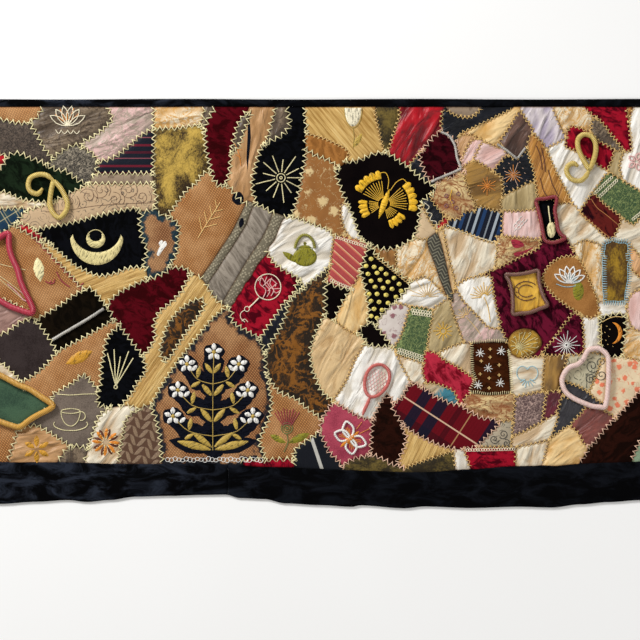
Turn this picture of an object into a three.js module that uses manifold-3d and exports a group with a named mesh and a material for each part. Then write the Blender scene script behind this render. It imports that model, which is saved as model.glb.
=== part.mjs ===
// A crazy quilt, the lower length of one, lying flat: a pieced top with its velvet border on three sides,
// a narrow velvet binding along the fourth, and padded cord motifs that are couched down on the patches.
// Millimetres. X runs along the lower border, Y up the quilt and Z away from the surface that it lies on.
// The origin is under the middle of the quilt, at the level of that surface.
import * as THREE from "three";
import { mergeVertices } from "three/addons/utils/BufferGeometryUtils.js";
import Module from "manifold-3d";

const wasm = await Module();
wasm.setup();

// Driving dimensions
const QUILT_WIDTH = 940;
const QUILT_LENGTH = 511.5;
const BORDER_WIDTH = 56;
const BINDING_WIDTH = 10;
const SEAM_GAP = 0.3; // between cloths that are sewn edge to edge
const CORD_GAP = 0.4; // between a padded cord and the patches under it
const TOP_THICKNESS = 2.7; // pieced top on its foundation, at a puffed patch
const PUFF = 0.7; // how far the pieced top swells and dips about that
const BORDER_SEAM_THICKNESS = 2.2;
const BORDER_CROWN = 4.4;
const BORDER_RIPPLE = 0.8;
const HEM_THICKNESS = 1.8;
const BINDING_THICKNESS = 3;
const SIDE_WAVE = 1.5; // how far the side hems wander in from a straight line
const STRIP_JOIN_X = -115; // where the two strips of the lower border are sewn end to end

const halfWidth = QUILT_WIDTH / 2;
const halfLength = QUILT_LENGTH / 2;
const panelSide = halfWidth - BORDER_WIDTH;
const panelTop = halfLength - BINDING_WIDTH;

// The lower border as it lies: x along the quilt, the seam to the pieced top, and the hem.
const LOWER_BORDER = [
  { x: -470, seam: -198.0, hem: -253.0 },
  { x: -400, seam: -197.9, hem: -250.3 },
  { x: -355, seam: -197.8, hem: -247.6 },
  { x: -315, seam: -198.0, hem: -245.4 },
  { x: -291, seam: -199.0, hem: -247.8 },
  { x: -262, seam: -199.9, hem: -245.4 },
  { x: -231, seam: -200.1, hem: -241.3 },
  { x: -188, seam: -200.2, hem: -240.2 },
  { x: -144, seam: -199.4, hem: -239.0 },
  { x: -118, seam: -200.5, hem: -238.6 },
  { x: -100, seam: -201.4, hem: -243.0 },
  { x: -70, seam: -203.0, hem: -244.2 },
  { x: -43, seam: -203.8, hem: -249.6 },
  { x: 0, seam: -206.1, hem: -251.8 },
  { x: 40, seam: -208.1, hem: -253.9 },
  { x: 50, seam: -208.7, hem: -252.1 },
  { x: 106, seam: -210.1, hem: -255.75 },
  { x: 130, seam: -210.0, hem: -253.5 },
  { x: 188, seam: -206.6, hem: -255.4 },
  { x: 248, seam: -203.0, hem: -253.8 },
  { x: 290, seam: -201.8, hem: -254.8 },
  { x: 325, seam: -199.4, hem: -250.9 },
  { x: 361, seam: -198.1, hem: -248.0 },
  { x: 400, seam: -197.1, hem: -245.6 },
  { x: 470, seam: -196.5, hem: -247.5 },
];

const mix = (a, b, t) => a + (b - a) * t;
const smooth = (t) => t * t * (3 - 2 * t);

// The height of one column of the border table at x, eased between its rows.
function along(column, x) {
  const last = LOWER_BORDER.length - 1;
  let row = 0;
  while (row < last - 1 && x > LOWER_BORDER[row + 1].x) row += 1;
  const [a, b] = [LOWER_BORDER[row], LOWER_BORDER[row + 1]];
  const t = THREE.MathUtils.clamp((x - a.x) / (b.x - a.x), 0, 1);
  return mix(a[column], b[column], smooth(t));
}

const seamY = (x) => along("seam", x);
const hemY = (x) => along("hem", x);
// The side hems wander inwards, and are out at full width again at the lower corners.
const sideWander = (y) => SIDE_WAVE * Math.sin((y + halfLength) / 62) ** 2;
const topWander = (x) => 0.8 * Math.sin((x + halfWidth) / 94) ** 2;

// The pieced top isn't quite flat: the patches swell and the seams pull in, in no even order.
function topHeight(x, y) {
  const slow = Math.sin(x / 33 + 0.9 * Math.sin(y / 51)) * Math.sin(y / 29 + 0.8 * Math.sin(x / 61));
  const pull = 0.4 * Math.sin(x / 19 + y / 43) * Math.cos(y / 17 - x / 71);
  return TOP_THICKNESS + PUFF * (0.7 * slow + pull);
}

// A velvet strip across its width, from the seam at 0 to the hem at 1, with the ripples of its length.
function borderHeight(across, length) {
  const swell = Math.sin(Math.PI * Math.min(1, across * 1.06)) ** 0.7;
  const crown = mix(BORDER_SEAM_THICKNESS, BORDER_CROWN, swell);
  const ripple = Math.sin(length / 13 + 1.4 * Math.sin(length / 37)) * Math.sin(Math.PI * across);
  const hem = smooth(THREE.MathUtils.clamp((across - 0.86) / 0.14, 0, 1));
  return mix(crown + BORDER_RIPPLE * ripple, HEM_THICKNESS, hem);
}

// A flat-bottomed cloth from a grid of places: the upper face follows height, and the lower one lies at 0.
// place(s, t) gives [x, y, z] of the upper face, with s from 0 to 1 to the right and t from 0 to 1 up.
function cloth(columns, rows, place) {
  const positions = [];
  const index = [];
  const upper = (i, j) => j * (columns + 1) + i;
  for (let j = 0; j <= rows; j += 1)
    for (let i = 0; i <= columns; i += 1) positions.push(...place(i / columns, j / rows));
  const lower = new Map();
  const under = (i, j) => {
    const at = upper(i, j);
    if (!lower.has(at)) {
      lower.set(at, positions.length / 3);
      positions.push(positions[3 * at], positions[3 * at + 1], 0);
    }
    return lower.get(at);
  };
  const wall = (i0, j0, i1, j1) => {
    index.push(under(i0, j0), under(i1, j1), upper(i1, j1));
    index.push(under(i0, j0), upper(i1, j1), upper(i0, j0));
  };
  for (let j = 0; j < rows; j += 1)
    for (let i = 0; i < columns; i += 1) {
      index.push(upper(i, j), upper(i + 1, j), upper(i + 1, j + 1));
      index.push(upper(i, j), upper(i + 1, j + 1), upper(i, j + 1));
    }
  for (let i = 0; i < columns; i += 1) {
    wall(i, 0, i + 1, 0);
    wall(i + 1, rows, i, rows);
  }
  for (let j = 0; j < rows; j += 1) {
    wall(columns, j, columns, j + 1);
    wall(0, j + 1, 0, j);
    index.push(under(1, 0), under(0, j), under(0, j + 1));
    index.push(under(columns - 1, 0), under(columns, j + 1), under(columns, j));
  }
  index.push(under(1, 0), under(0, rows), under(1, rows));
  index.push(under(columns - 1, 0), under(columns - 1, rows), under(columns, rows));
  for (let i = 1; i < columns - 1; i += 1) {
    index.push(under(i, 0), under(i + 1, rows), under(i + 1, 0));
    index.push(under(i, 0), under(i, rows), under(i + 1, rows));
  }
  return new THREE.BufferGeometry()
    .setAttribute("position", new THREE.Float32BufferAttribute(positions, 3))
    .setIndex(index);
}

// The pieced top, out to the seams of its border.
function piecedTop() {
  return cloth(60, 34, (s, t) => {
    const x = mix(-panelSide, panelSide, s);
    const y = mix(seamY(x), panelTop, t);
    return [x, y, topHeight(x, y)];
  });
}

// A strip of the lower border between two places along it.
function lowerStrip(from, to) {
  const columns = Math.round((to - from) / 10);
  return cloth(columns, 6, (s, t) => {
    const x = mix(from, to, s);
    const y = mix(hemY(x), seamY(x) - SEAM_GAP, t);
    return [x, y, borderHeight(1 - t, x)];
  });
}

// A side strip, which butts against the lower border: side is -1 on the left and 1 on the right.
function sideStrip(side) {
  const seamX = panelSide + SEAM_GAP;
  return cloth(6, 40, (s, t) => {
    const across = side > 0 ? s : 1 - s;
    const hemX = (y) => halfWidth - sideWander(y);
    const foot = seamY(side * mix(seamX, halfWidth, across));
    const y = mix(foot, panelTop, t);
    return [side * mix(seamX, hemX(y), across), y, borderHeight(across, y)];
  });
}

// The narrow binding over the upper raw edges of the pieced top and the side strips.
function upperBinding() {
  return cloth(60, 3, (s, t) => {
    const x = mix(-halfWidth, halfWidth, s);
    const y = mix(panelTop + SEAM_GAP, halfLength - topWander(x), t);
    const fold = mix(0.72, 1, Math.sin(Math.PI * t));
    return [x, y, BINDING_THICKNESS * fold];
  });
}

// A closed three.js geometry as a solid that can be joined to another.
function solidOf(geometry) {
  const bare = geometry.clone().deleteAttribute("normal").deleteAttribute("uv");
  const merged = mergeVertices(bare, 1e-3);
  return new wasm.Manifold(
    new wasm.Mesh({
      numProp: 3,
      vertProperties: merged.attributes.position.array,
      triVerts: new Uint32Array(merged.index.array),
    }),
  );
}

function fused(first, second) {
  const mesh = solidOf(first).add(solidOf(second)).getMesh();
  return new THREE.BufferGeometry()
    .setAttribute("position", new THREE.BufferAttribute(mesh.vertProperties, 3))
    .setIndex(new THREE.BufferAttribute(mesh.triVerts, 1));
}

// A padded cord's centre line, laid on the patches: points are [x, y] on the quilt.
function laidLine(points, radius, closed) {
  const lifted = points.map(([x, y]) => new THREE.Vector3(x, y, topHeight(x, y) + CORD_GAP + radius));
  return new THREE.CatmullRomCurve3(lifted, closed);
}

const CORD_SIDES = 8;

// A padded cord with two ends.
function openCord(points, radius, steps) {
  const section = new THREE.Shape();
  section.setFromPoints(
    Array.from({ length: CORD_SIDES }, (_, i) => {
      const turn = (2 * Math.PI * i) / CORD_SIDES;
      return new THREE.Vector2(radius * Math.cos(turn), radius * Math.sin(turn));
    }),
  );
  const extrudePath = laidLine(points, radius, false);
  return new THREE.ExtrudeGeometry(section, { extrudePath, steps, curveSegments: 1 });
}

// A padded cord that comes back to its start.
function cordRing(points, radius, steps) {
  return new THREE.TubeGeometry(laidLine(points, radius, true), steps, radius, CORD_SIDES, true);
}

// The padded cords' routes on the quilt, as [x, y]. The two on the left run out to the side's seam.
const atLeftSeam = -panelSide + 4;

const PENNANT_ROUTE = [
  [atLeftSeam, 76], [-400, 82], [-392, 87], [-388, 86], [-388, 78], [-387, 67], [-383, 55], [-377, 42],
  [-374, 30], [-369, 17], [-363, 5], [-358, -7], [-360, -12], [-366, -11], [-375, -8], [-388, -3],
  [-400, 4], [atLeftSeam, 10],
];

const ARROW_ROUTE = [
  [atLeftSeam, -85], [-400, -89], [-388, -95], [-375, -102], [-362, -107], [-350, -115], [-339, -122],
  [-333, -127], [-338, -132], [-350, -138], [-362, -145], [-371, -152], [-377, -154], [-388, -151],
  [-400, -147], [atLeftSeam, -145],
];

const SPOON_FRAME_ROUTE = [
  [270, 129], [281, 131], [294, 133], [295, 126], [293, 117], [295, 105], [297, 93], [301, 86],
  [306, 82], [299, 78], [289, 76], [281, 79], [278, 90], [275, 106], [272, 118],
];

const CHARM_FRAME_ROUTE = [
  [232, 36], [241, 36], [252, 37], [262, 39], [272, 41], [273, 31], [275, 20], [279, 8],
  [284, -2], [275, -6], [262, -11], [251, -12], [241, -13], [241, -2], [240, 12], [237, 26],
];

const HEART_ROUTE = [
  [328, -70], [331, -64], [335, -58], [342, -56], [348, -56], [353, -59], [358, -64], [360, -72],
  [360, -83], [360, -95], [359, -108], [358, -119], [355, -129], [349, -129], [340, -128], [329, -124],
  [318, -119], [308, -112], [303, -103], [302, -94], [306, -85], [312, -79], [321, -76],
];

// A scroll is a drop-shaped loop, and a curl that runs into the loop's point.
const SCROLL_LEFT = {
  loop: [
    [-332, 152], [-325, 146], [-319, 136], [-315, 125], [-317, 115], [-325, 107], [-333, 113],
    [-337, 124], [-336, 137], [-334, 147],
  ],
  curl: [
    [-346, 144], [-352, 137], [-361, 140], [-364, 148], [-361, 157], [-351, 161], [-341, 160],
    [-332, 153],
  ],
};

const SCROLL_RIGHT = {
  loop: [
    [336, 168], [341, 178], [344, 191], [343, 202], [338, 209], [329, 211], [322, 205], [322, 194],
    [327, 182], [332, 173],
  ],
  curl: [
    [322, 171], [316, 175], [309, 171], [308, 163], [314, 155], [324, 153], [331, 158], [336, 167],
  ],
};

const PENNANT_RADIUS = 3.8;
const ARROW_RADIUS = 3.6;
const SCROLL_RADIUS = 3.2;
const HEART_RADIUS = 3.2;
const FRAME_RADIUS = 2.4;

function scroll({ loop, curl }) {
  return fused(cordRing(loop, SCROLL_RADIUS, 30), openCord(curl, SCROLL_RADIUS, 22));
}

// A racket: an oval ring, fuller at its far end, with a straight handle from its throat.
const RACKET = { centre: [70.5, -96.5], lean: 22, headWidth: 29, headLength: 42, handle: 25, radius: 2.1 };

// Leans the racket's own points to the right, and sets them on the quilt.
function leant([across, up]) {
  const lean = THREE.MathUtils.degToRad(RACKET.lean);
  return [
    RACKET.centre[0] + across * Math.cos(lean) + up * Math.sin(lean),
    RACKET.centre[1] - across * Math.sin(lean) + up * Math.cos(lean),
  ];
}

function racket() {
  const points = 16;
  const head = Array.from({ length: points }, (_, i) => {
    const turn = (2 * Math.PI * i) / points;
    const taper = 1 + 0.14 * Math.cos(turn);
    const across = (RACKET.headWidth / 2) * taper * Math.sin(turn);
    return leant([across, (RACKET.headLength / 2) * Math.cos(turn)]);
  });
  const throat = -RACKET.headLength / 2;
  const handle = [throat, throat - RACKET.handle / 2, throat - RACKET.handle].map((up) => leant([0, up]));
  return fused(cordRing(head, RACKET.radius, 28), openCord(handle, RACKET.radius, 6));
}

// Cloth and thread colours
const velvet = (color) => new THREE.MeshStandardMaterial({ color, roughness: 0.9, metalness: 0 });
const silkCord = (color) => new THREE.MeshStandardMaterial({ color, roughness: 0.55, metalness: 0 });

const BLACK_VELVET = "#0b0c12";
const COLOURS = {
  patchwork: "#a8845c",
  gold: "#d9b85c",
  pink: "#e2b9b0",
  crimson: "#a8243a",
  amber: "#d6a23c",
  red: "#9c2a38",
  brown: "#7a5a4a",
  coral: "#d0646a",
};

const parts = [
  ["pieced_top", piecedTop(), new THREE.MeshStandardMaterial({ color: COLOURS.patchwork, roughness: 0.8 })],
  ["lower_border_left", lowerStrip(-halfWidth, STRIP_JOIN_X - SEAM_GAP / 2), velvet(BLACK_VELVET)],
  ["lower_border_right", lowerStrip(STRIP_JOIN_X + SEAM_GAP / 2, halfWidth), velvet(BLACK_VELVET)],
  ["side_border_left", sideStrip(-1), velvet(BLACK_VELVET)],
  ["side_border_right", sideStrip(1), velvet(BLACK_VELVET)],
  ["upper_binding", upperBinding(), velvet(BLACK_VELVET)],
  ["scroll_left", scroll(SCROLL_LEFT), silkCord(COLOURS.gold)],
  ["scroll_right", scroll(SCROLL_RIGHT), silkCord(COLOURS.gold)],
  ["heart_cord", cordRing(HEART_ROUTE, HEART_RADIUS, 48), silkCord(COLOURS.pink)],
  ["pennant_cord", openCord(PENNANT_ROUTE, PENNANT_RADIUS, 44), silkCord(COLOURS.crimson)],
  ["arrow_cord", openCord(ARROW_ROUTE, ARROW_RADIUS, 40), silkCord(COLOURS.amber)],
  ["spoon_frame", cordRing(SPOON_FRAME_ROUTE, FRAME_RADIUS, 44), silkCord(COLOURS.red)],
  ["charm_frame", cordRing(CHARM_FRAME_ROUTE, FRAME_RADIUS, 44), silkCord(COLOURS.brown)],
  ["racket_cord", racket(), silkCord(COLOURS.coral)],
];

const quilt = new THREE.Group();
for (const [name, geometry, material] of parts) {
  const mesh = new THREE.Mesh(geometry, material);
  mesh.name = name;
  quilt.add(mesh);
}

export default quilt;
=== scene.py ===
"""A crazy quilt lying flat, seen from straight above. The CAD nodes give the frame: metres, X along the
lower border, Y up the quilt, Z up from the surface. Each section below makes one kind of piece, in the
order of sewing."""

import math

import bpy
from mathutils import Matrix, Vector, geometry, kdtree, noise
from mathutils.bvhtree import BVHTree


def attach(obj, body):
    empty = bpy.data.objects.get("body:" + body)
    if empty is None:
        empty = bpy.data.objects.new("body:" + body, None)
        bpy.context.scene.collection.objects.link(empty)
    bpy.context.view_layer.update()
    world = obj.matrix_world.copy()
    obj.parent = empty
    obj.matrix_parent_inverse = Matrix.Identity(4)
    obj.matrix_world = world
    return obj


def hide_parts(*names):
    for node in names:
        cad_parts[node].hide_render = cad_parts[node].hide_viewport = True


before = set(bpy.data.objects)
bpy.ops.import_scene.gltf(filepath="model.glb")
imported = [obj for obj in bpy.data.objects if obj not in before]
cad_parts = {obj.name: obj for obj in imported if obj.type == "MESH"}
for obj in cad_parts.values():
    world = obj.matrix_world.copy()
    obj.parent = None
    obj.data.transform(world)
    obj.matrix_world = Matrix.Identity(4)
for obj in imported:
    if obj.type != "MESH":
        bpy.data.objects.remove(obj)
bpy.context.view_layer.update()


# The view. The camera looks straight down, and a layout step of 1.25 mm is one pixel of the 640 across the
# picture. Places on the quilt are given in layout steps, from the picture's upper left corner.
STEP = 1.25
PICTURE_CENTRE = (320, 303.6)
MM = 0.001


def at(u, v):
    """A place in layout steps, in mm on the quilt."""
    return (u - PICTURE_CENTRE[0]) * STEP, (PICTURE_CENTRE[1] - v) * STEP


CAMERA_HEIGHT = 3.0
SENSOR = 36
PICTURE_STEPS = 640
camera_data = bpy.data.cameras.new("camera")
camera_data.sensor_width = SENSOR
camera_data.lens = SENSOR * CAMERA_HEIGHT / (PICTURE_STEPS * STEP * MM)
camera = bpy.data.objects.new("camera", camera_data)
camera.location = (0, at(PICTURE_STEPS / 2, PICTURE_STEPS / 2)[1] * MM, CAMERA_HEIGHT)
bpy.context.collection.objects.link(camera)
bpy.context.scene.camera = camera
bpy.context.scene.view_settings.view_transform = "Standard"


# The room. Two large soft lamps, the stronger one over the upper left corner, a pale room all round, and a
# matt off-white table that the quilt is spread on.
def linear(hex_colour):
    """An sRGB hex value as linear red, green, blue and alpha."""
    channels = [int(hex_colour[k : k + 2], 16) / 255 for k in (1, 3, 5)]
    return [c / 12.92 if c <= 0.04045 else ((c + 0.055) / 1.055) ** 2.4 for c in channels] + [1.0]


def add(tree, kind, settings=None, links=None):
    """Adds one node with its settings, and with links from other nodes' sockets."""
    node = tree.nodes.new(kind)
    for name, value in (settings or {}).items():
        if name in node.inputs:
            node.inputs[name].default_value = value
        else:
            setattr(node, name, value)
    for name, source in (links or {}).items():
        tree.links.new(source, node.inputs[name])
    return node


def soft_lamp(name, place, size, power):
    data = bpy.data.lights.new(name, "AREA")
    data.shape = "DISK"
    data.size = size
    data.energy = power
    lamp = bpy.data.objects.new(name, data)
    lamp.location = place
    lamp.rotation_euler = (-Vector(place)).to_track_quat("-Z", "Y").to_euler()
    bpy.context.collection.objects.link(lamp)


soft_lamp("key_lamp", (-2.1, 2.0, 1.6), 0.9, 112)
soft_lamp("fill_lamp", (1.7, -0.8, 2.4), 1.8, 20)
room = bpy.data.worlds.new("pale room")
room.use_nodes = True
room.node_tree.nodes["Background"].inputs["Color"].default_value = linear("#F4F2EE")
room.node_tree.nodes["Background"].inputs["Strength"].default_value = 0.385
bpy.context.scene.world = room


def new_material(name):
    """An empty material, its tree, and the shader that its nodes feed."""
    material = bpy.data.materials.new(name)
    material.use_nodes = True
    material.node_tree.nodes.clear()
    tree = material.node_tree
    shader = add(tree, "ShaderNodeBsdfPrincipled")
    add(tree, "ShaderNodeOutputMaterial", links={"Surface": shader.outputs["BSDF"]})
    return material, tree, shader


def emboss(shader, height, distance, strength=1.0):
    """Gives a material its relief, from a height and how deep it goes in metres."""
    tree = shader.id_data
    bump = add(tree, "ShaderNodeBump", {"Distance": distance, "Strength": strength}, {"Height": height})
    tree.links.new(bump.outputs["Normal"], shader.inputs["Normal"])


def mesh_object(name, verts, faces, material):
    """A mesh in metres, at the origin, from points in mm."""
    mesh = bpy.data.meshes.new(name)
    mesh.from_pydata([(x * MM, y * MM, z * MM) for x, y, z in verts], [], faces)
    mesh.materials.append(material)
    piece = bpy.data.objects.new(name, mesh)
    bpy.context.collection.objects.link(piece)
    return piece


def set_weave(piece, places):
    """Gives each point of a piece its place along and across the grain or the thread, in mm."""
    weave = piece.data.attributes.new("weave", "FLOAT_VECTOR", "POINT")
    weave.data.foreach_set("vector", [value for place in places for value in place])


def matt_table():
    """Matt white laminate: almost even, with a faint cloudiness."""
    material, tree, shader = new_material("matt white table")
    place = add(tree, "ShaderNodeTexCoord")
    cloud = add(
        tree, "ShaderNodeTexNoise", {"Scale": 3.0, "Detail": 3.0}, {"Vector": place.outputs["Object"]}
    )
    tone = add(tree, "ShaderNodeValToRGB", links={"Fac": cloud.outputs["Fac"]})
    tone.color_ramp.elements[0].color = linear("#FAFAF9")
    tone.color_ramp.elements[1].color = linear("#FFFFFF")
    tree.links.new(tone.outputs["Color"], shader.inputs["Base Color"])
    shader.inputs["Roughness"].default_value = 0.8
    return material


TABLE_REACH = 2500
TABLE_HEIGHT = -0.6
table_corners = [
    (TABLE_REACH * x, TABLE_REACH * y, TABLE_HEIGHT) for x, y in ((-1, -1), (1, -1), (1, 1), (-1, 1))
]
table = mesh_object("table", table_corners, [(0, 1, 2, 3)], matt_table())


# The foundation. A plain cotton muslin, cut to the pieced part's outline, that every patch is laid on and
# sewn to. It is hidden from above, and its raw underside is the quilt's back.
PANEL_SIDE = 414
PANEL_TOP = 245.7
TOP_MIDDLE = 2.7
TOP_PUFF = 0.7
BORDER_SEAM = [
    (-470, -198), (-400, -197.9), (-355, -197.8), (-315, -198), (-291, -199), (-262, -199.9),
    (-231, -200.1), (-188, -200.2), (-144, -199.4), (-118, -200.5), (-100, -201.4), (-70, -203),
    (-43, -203.8), (0, -206.1), (40, -208.1), (50, -208.7), (106, -210.1), (130, -210), (188, -206.6),
    (248, -203), (290, -201.8), (325, -199.4), (361, -198.1), (400, -197.1), (470, -196.5),
]
BORDER_HEM = [
    (-470, -253), (-400, -250.3), (-355, -247.6), (-315, -245.4), (-291, -247.8), (-262, -245.4),
    (-231, -241.3), (-188, -240.2), (-144, -239), (-118, -238.6), (-100, -243), (-70, -244.2),
    (-43, -249.6), (0, -251.8), (40, -253.9), (50, -252.1), (106, -255.75), (130, -253.5), (188, -255.4),
    (248, -253.8), (290, -254.8), (325, -250.9), (361, -248), (400, -245.6), (470, -247.5),
]


def smooth(t):
    t = max(0.0, min(1.0, t))
    return t * t * (3 - 2 * t)


def mix(a, b, t):
    return a + (b - a) * t


def along_edge(edge, x):
    """The height up the quilt of the border's seam or hem at x, in mm."""
    for (x0, y0), (x1, y1) in zip(edge, edge[1:]):
        if x <= x1:
            return mix(y0, y1, smooth((x - x0) / (x1 - x0)))
    return edge[-1][1]


def top_height(x, y):
    """The height of the pieced top over the table, in mm: uneven, as pieced cloth on a foundation puffs."""
    low = 0.7 * math.sin(x / 33 + 0.9 * math.sin(y / 51)) * math.sin(y / 29 + 0.8 * math.sin(x / 61))
    high = 0.4 * math.sin(x / 19 + y / 43) * math.cos(y / 17 - x / 71)
    return TOP_MIDDLE + TOP_PUFF * (low + high)


def closed_sheet(rows, top, bottom):
    """A closed thin sheet over rows of (x, y) points, each row of the same length: its points and faces."""
    count, wide = len(rows), len(rows[0])
    upper = [(x, y, top(x, y)) for row in rows for x, y in row]
    lower = [(x, y, bottom(x, y)) for row in rows for x, y in row]
    faces = []
    for j in range(count - 1):
        for i in range(wide - 1):
            a, b, c, d = j * wide + i, j * wide + i + 1, (j + 1) * wide + i + 1, (j + 1) * wide + i
            faces.append((a, b, c, d))
            faces.append((d + count * wide, c + count * wide, b + count * wide, a + count * wide))
    rim = list(range(wide)) + [j * wide + wide - 1 for j in range(1, count)]
    rim += [(count - 1) * wide + i for i in range(wide - 2, -1, -1)]
    rim += [j * wide for j in range(count - 2, 0, -1)]
    for a, b in zip(rim, rim[1:] + rim[:1]):
        faces.append((b, a, a + count * wide, b + count * wide))
    return upper + lower, faces


def plain_muslin():
    """Unbleached cotton muslin: a flat weave, its threads drawn at 1 mm, coarser than real, to show."""
    material, tree, shader = new_material("unbleached cotton muslin")
    place = add(tree, "ShaderNodeTexCoord")
    warp = add(
        tree, "ShaderNodeTexWave", {"Scale": 310.0, "bands_direction": "X"},
        {"Vector": place.outputs["Object"]}
    )
    weft = add(
        tree, "ShaderNodeTexWave", {"Scale": 310.0, "bands_direction": "Y"},
        {"Vector": place.outputs["Object"]}
    )
    weave = add(
        tree, "ShaderNodeMath", {"operation": "MULTIPLY"}, {0: warp.outputs["Fac"], 1: weft.outputs["Fac"]}
    )
    tone = add(tree, "ShaderNodeValToRGB", links={"Fac": weave.outputs[0]})
    tone.color_ramp.elements[0].color = linear("#C9BDA4")
    tone.color_ramp.elements[1].color = linear("#E2D8C2")
    tree.links.new(tone.outputs["Color"], shader.inputs["Base Color"])
    emboss(shader, weave.outputs[0], 0.0003, 0.5)
    shader.inputs["Roughness"].default_value = 0.9
    return material


FOUNDATION_COLUMNS, FOUNDATION_ROWS = 104, 57
FOUNDATION_TOP, FOUNDATION_UNDERSIDE = 0.75, 0.15


def foundation_rows(columns, rows):
    """Rows of places up the quilt, from the lower border's seam to the upper edge."""
    grid = []
    for j in range(rows):
        row = []
        for i in range(columns):
            x = mix(-PANEL_SIDE, PANEL_SIDE, i / (columns - 1))
            row.append((x, mix(along_edge(BORDER_SEAM, x) + 0.3, PANEL_TOP, j / (rows - 1))))
        grid.append(row)
    return grid


muslin_rows = foundation_rows(FOUNDATION_COLUMNS, FOUNDATION_ROWS)
verts, faces = closed_sheet(muslin_rows, lambda x, y: FOUNDATION_TOP, lambda x, y: FOUNDATION_UNDERSIDE)
foundation = mesh_object("foundation", verts, faces, plain_muslin())
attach(foundation, "root")
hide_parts("pieced_top")


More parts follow.
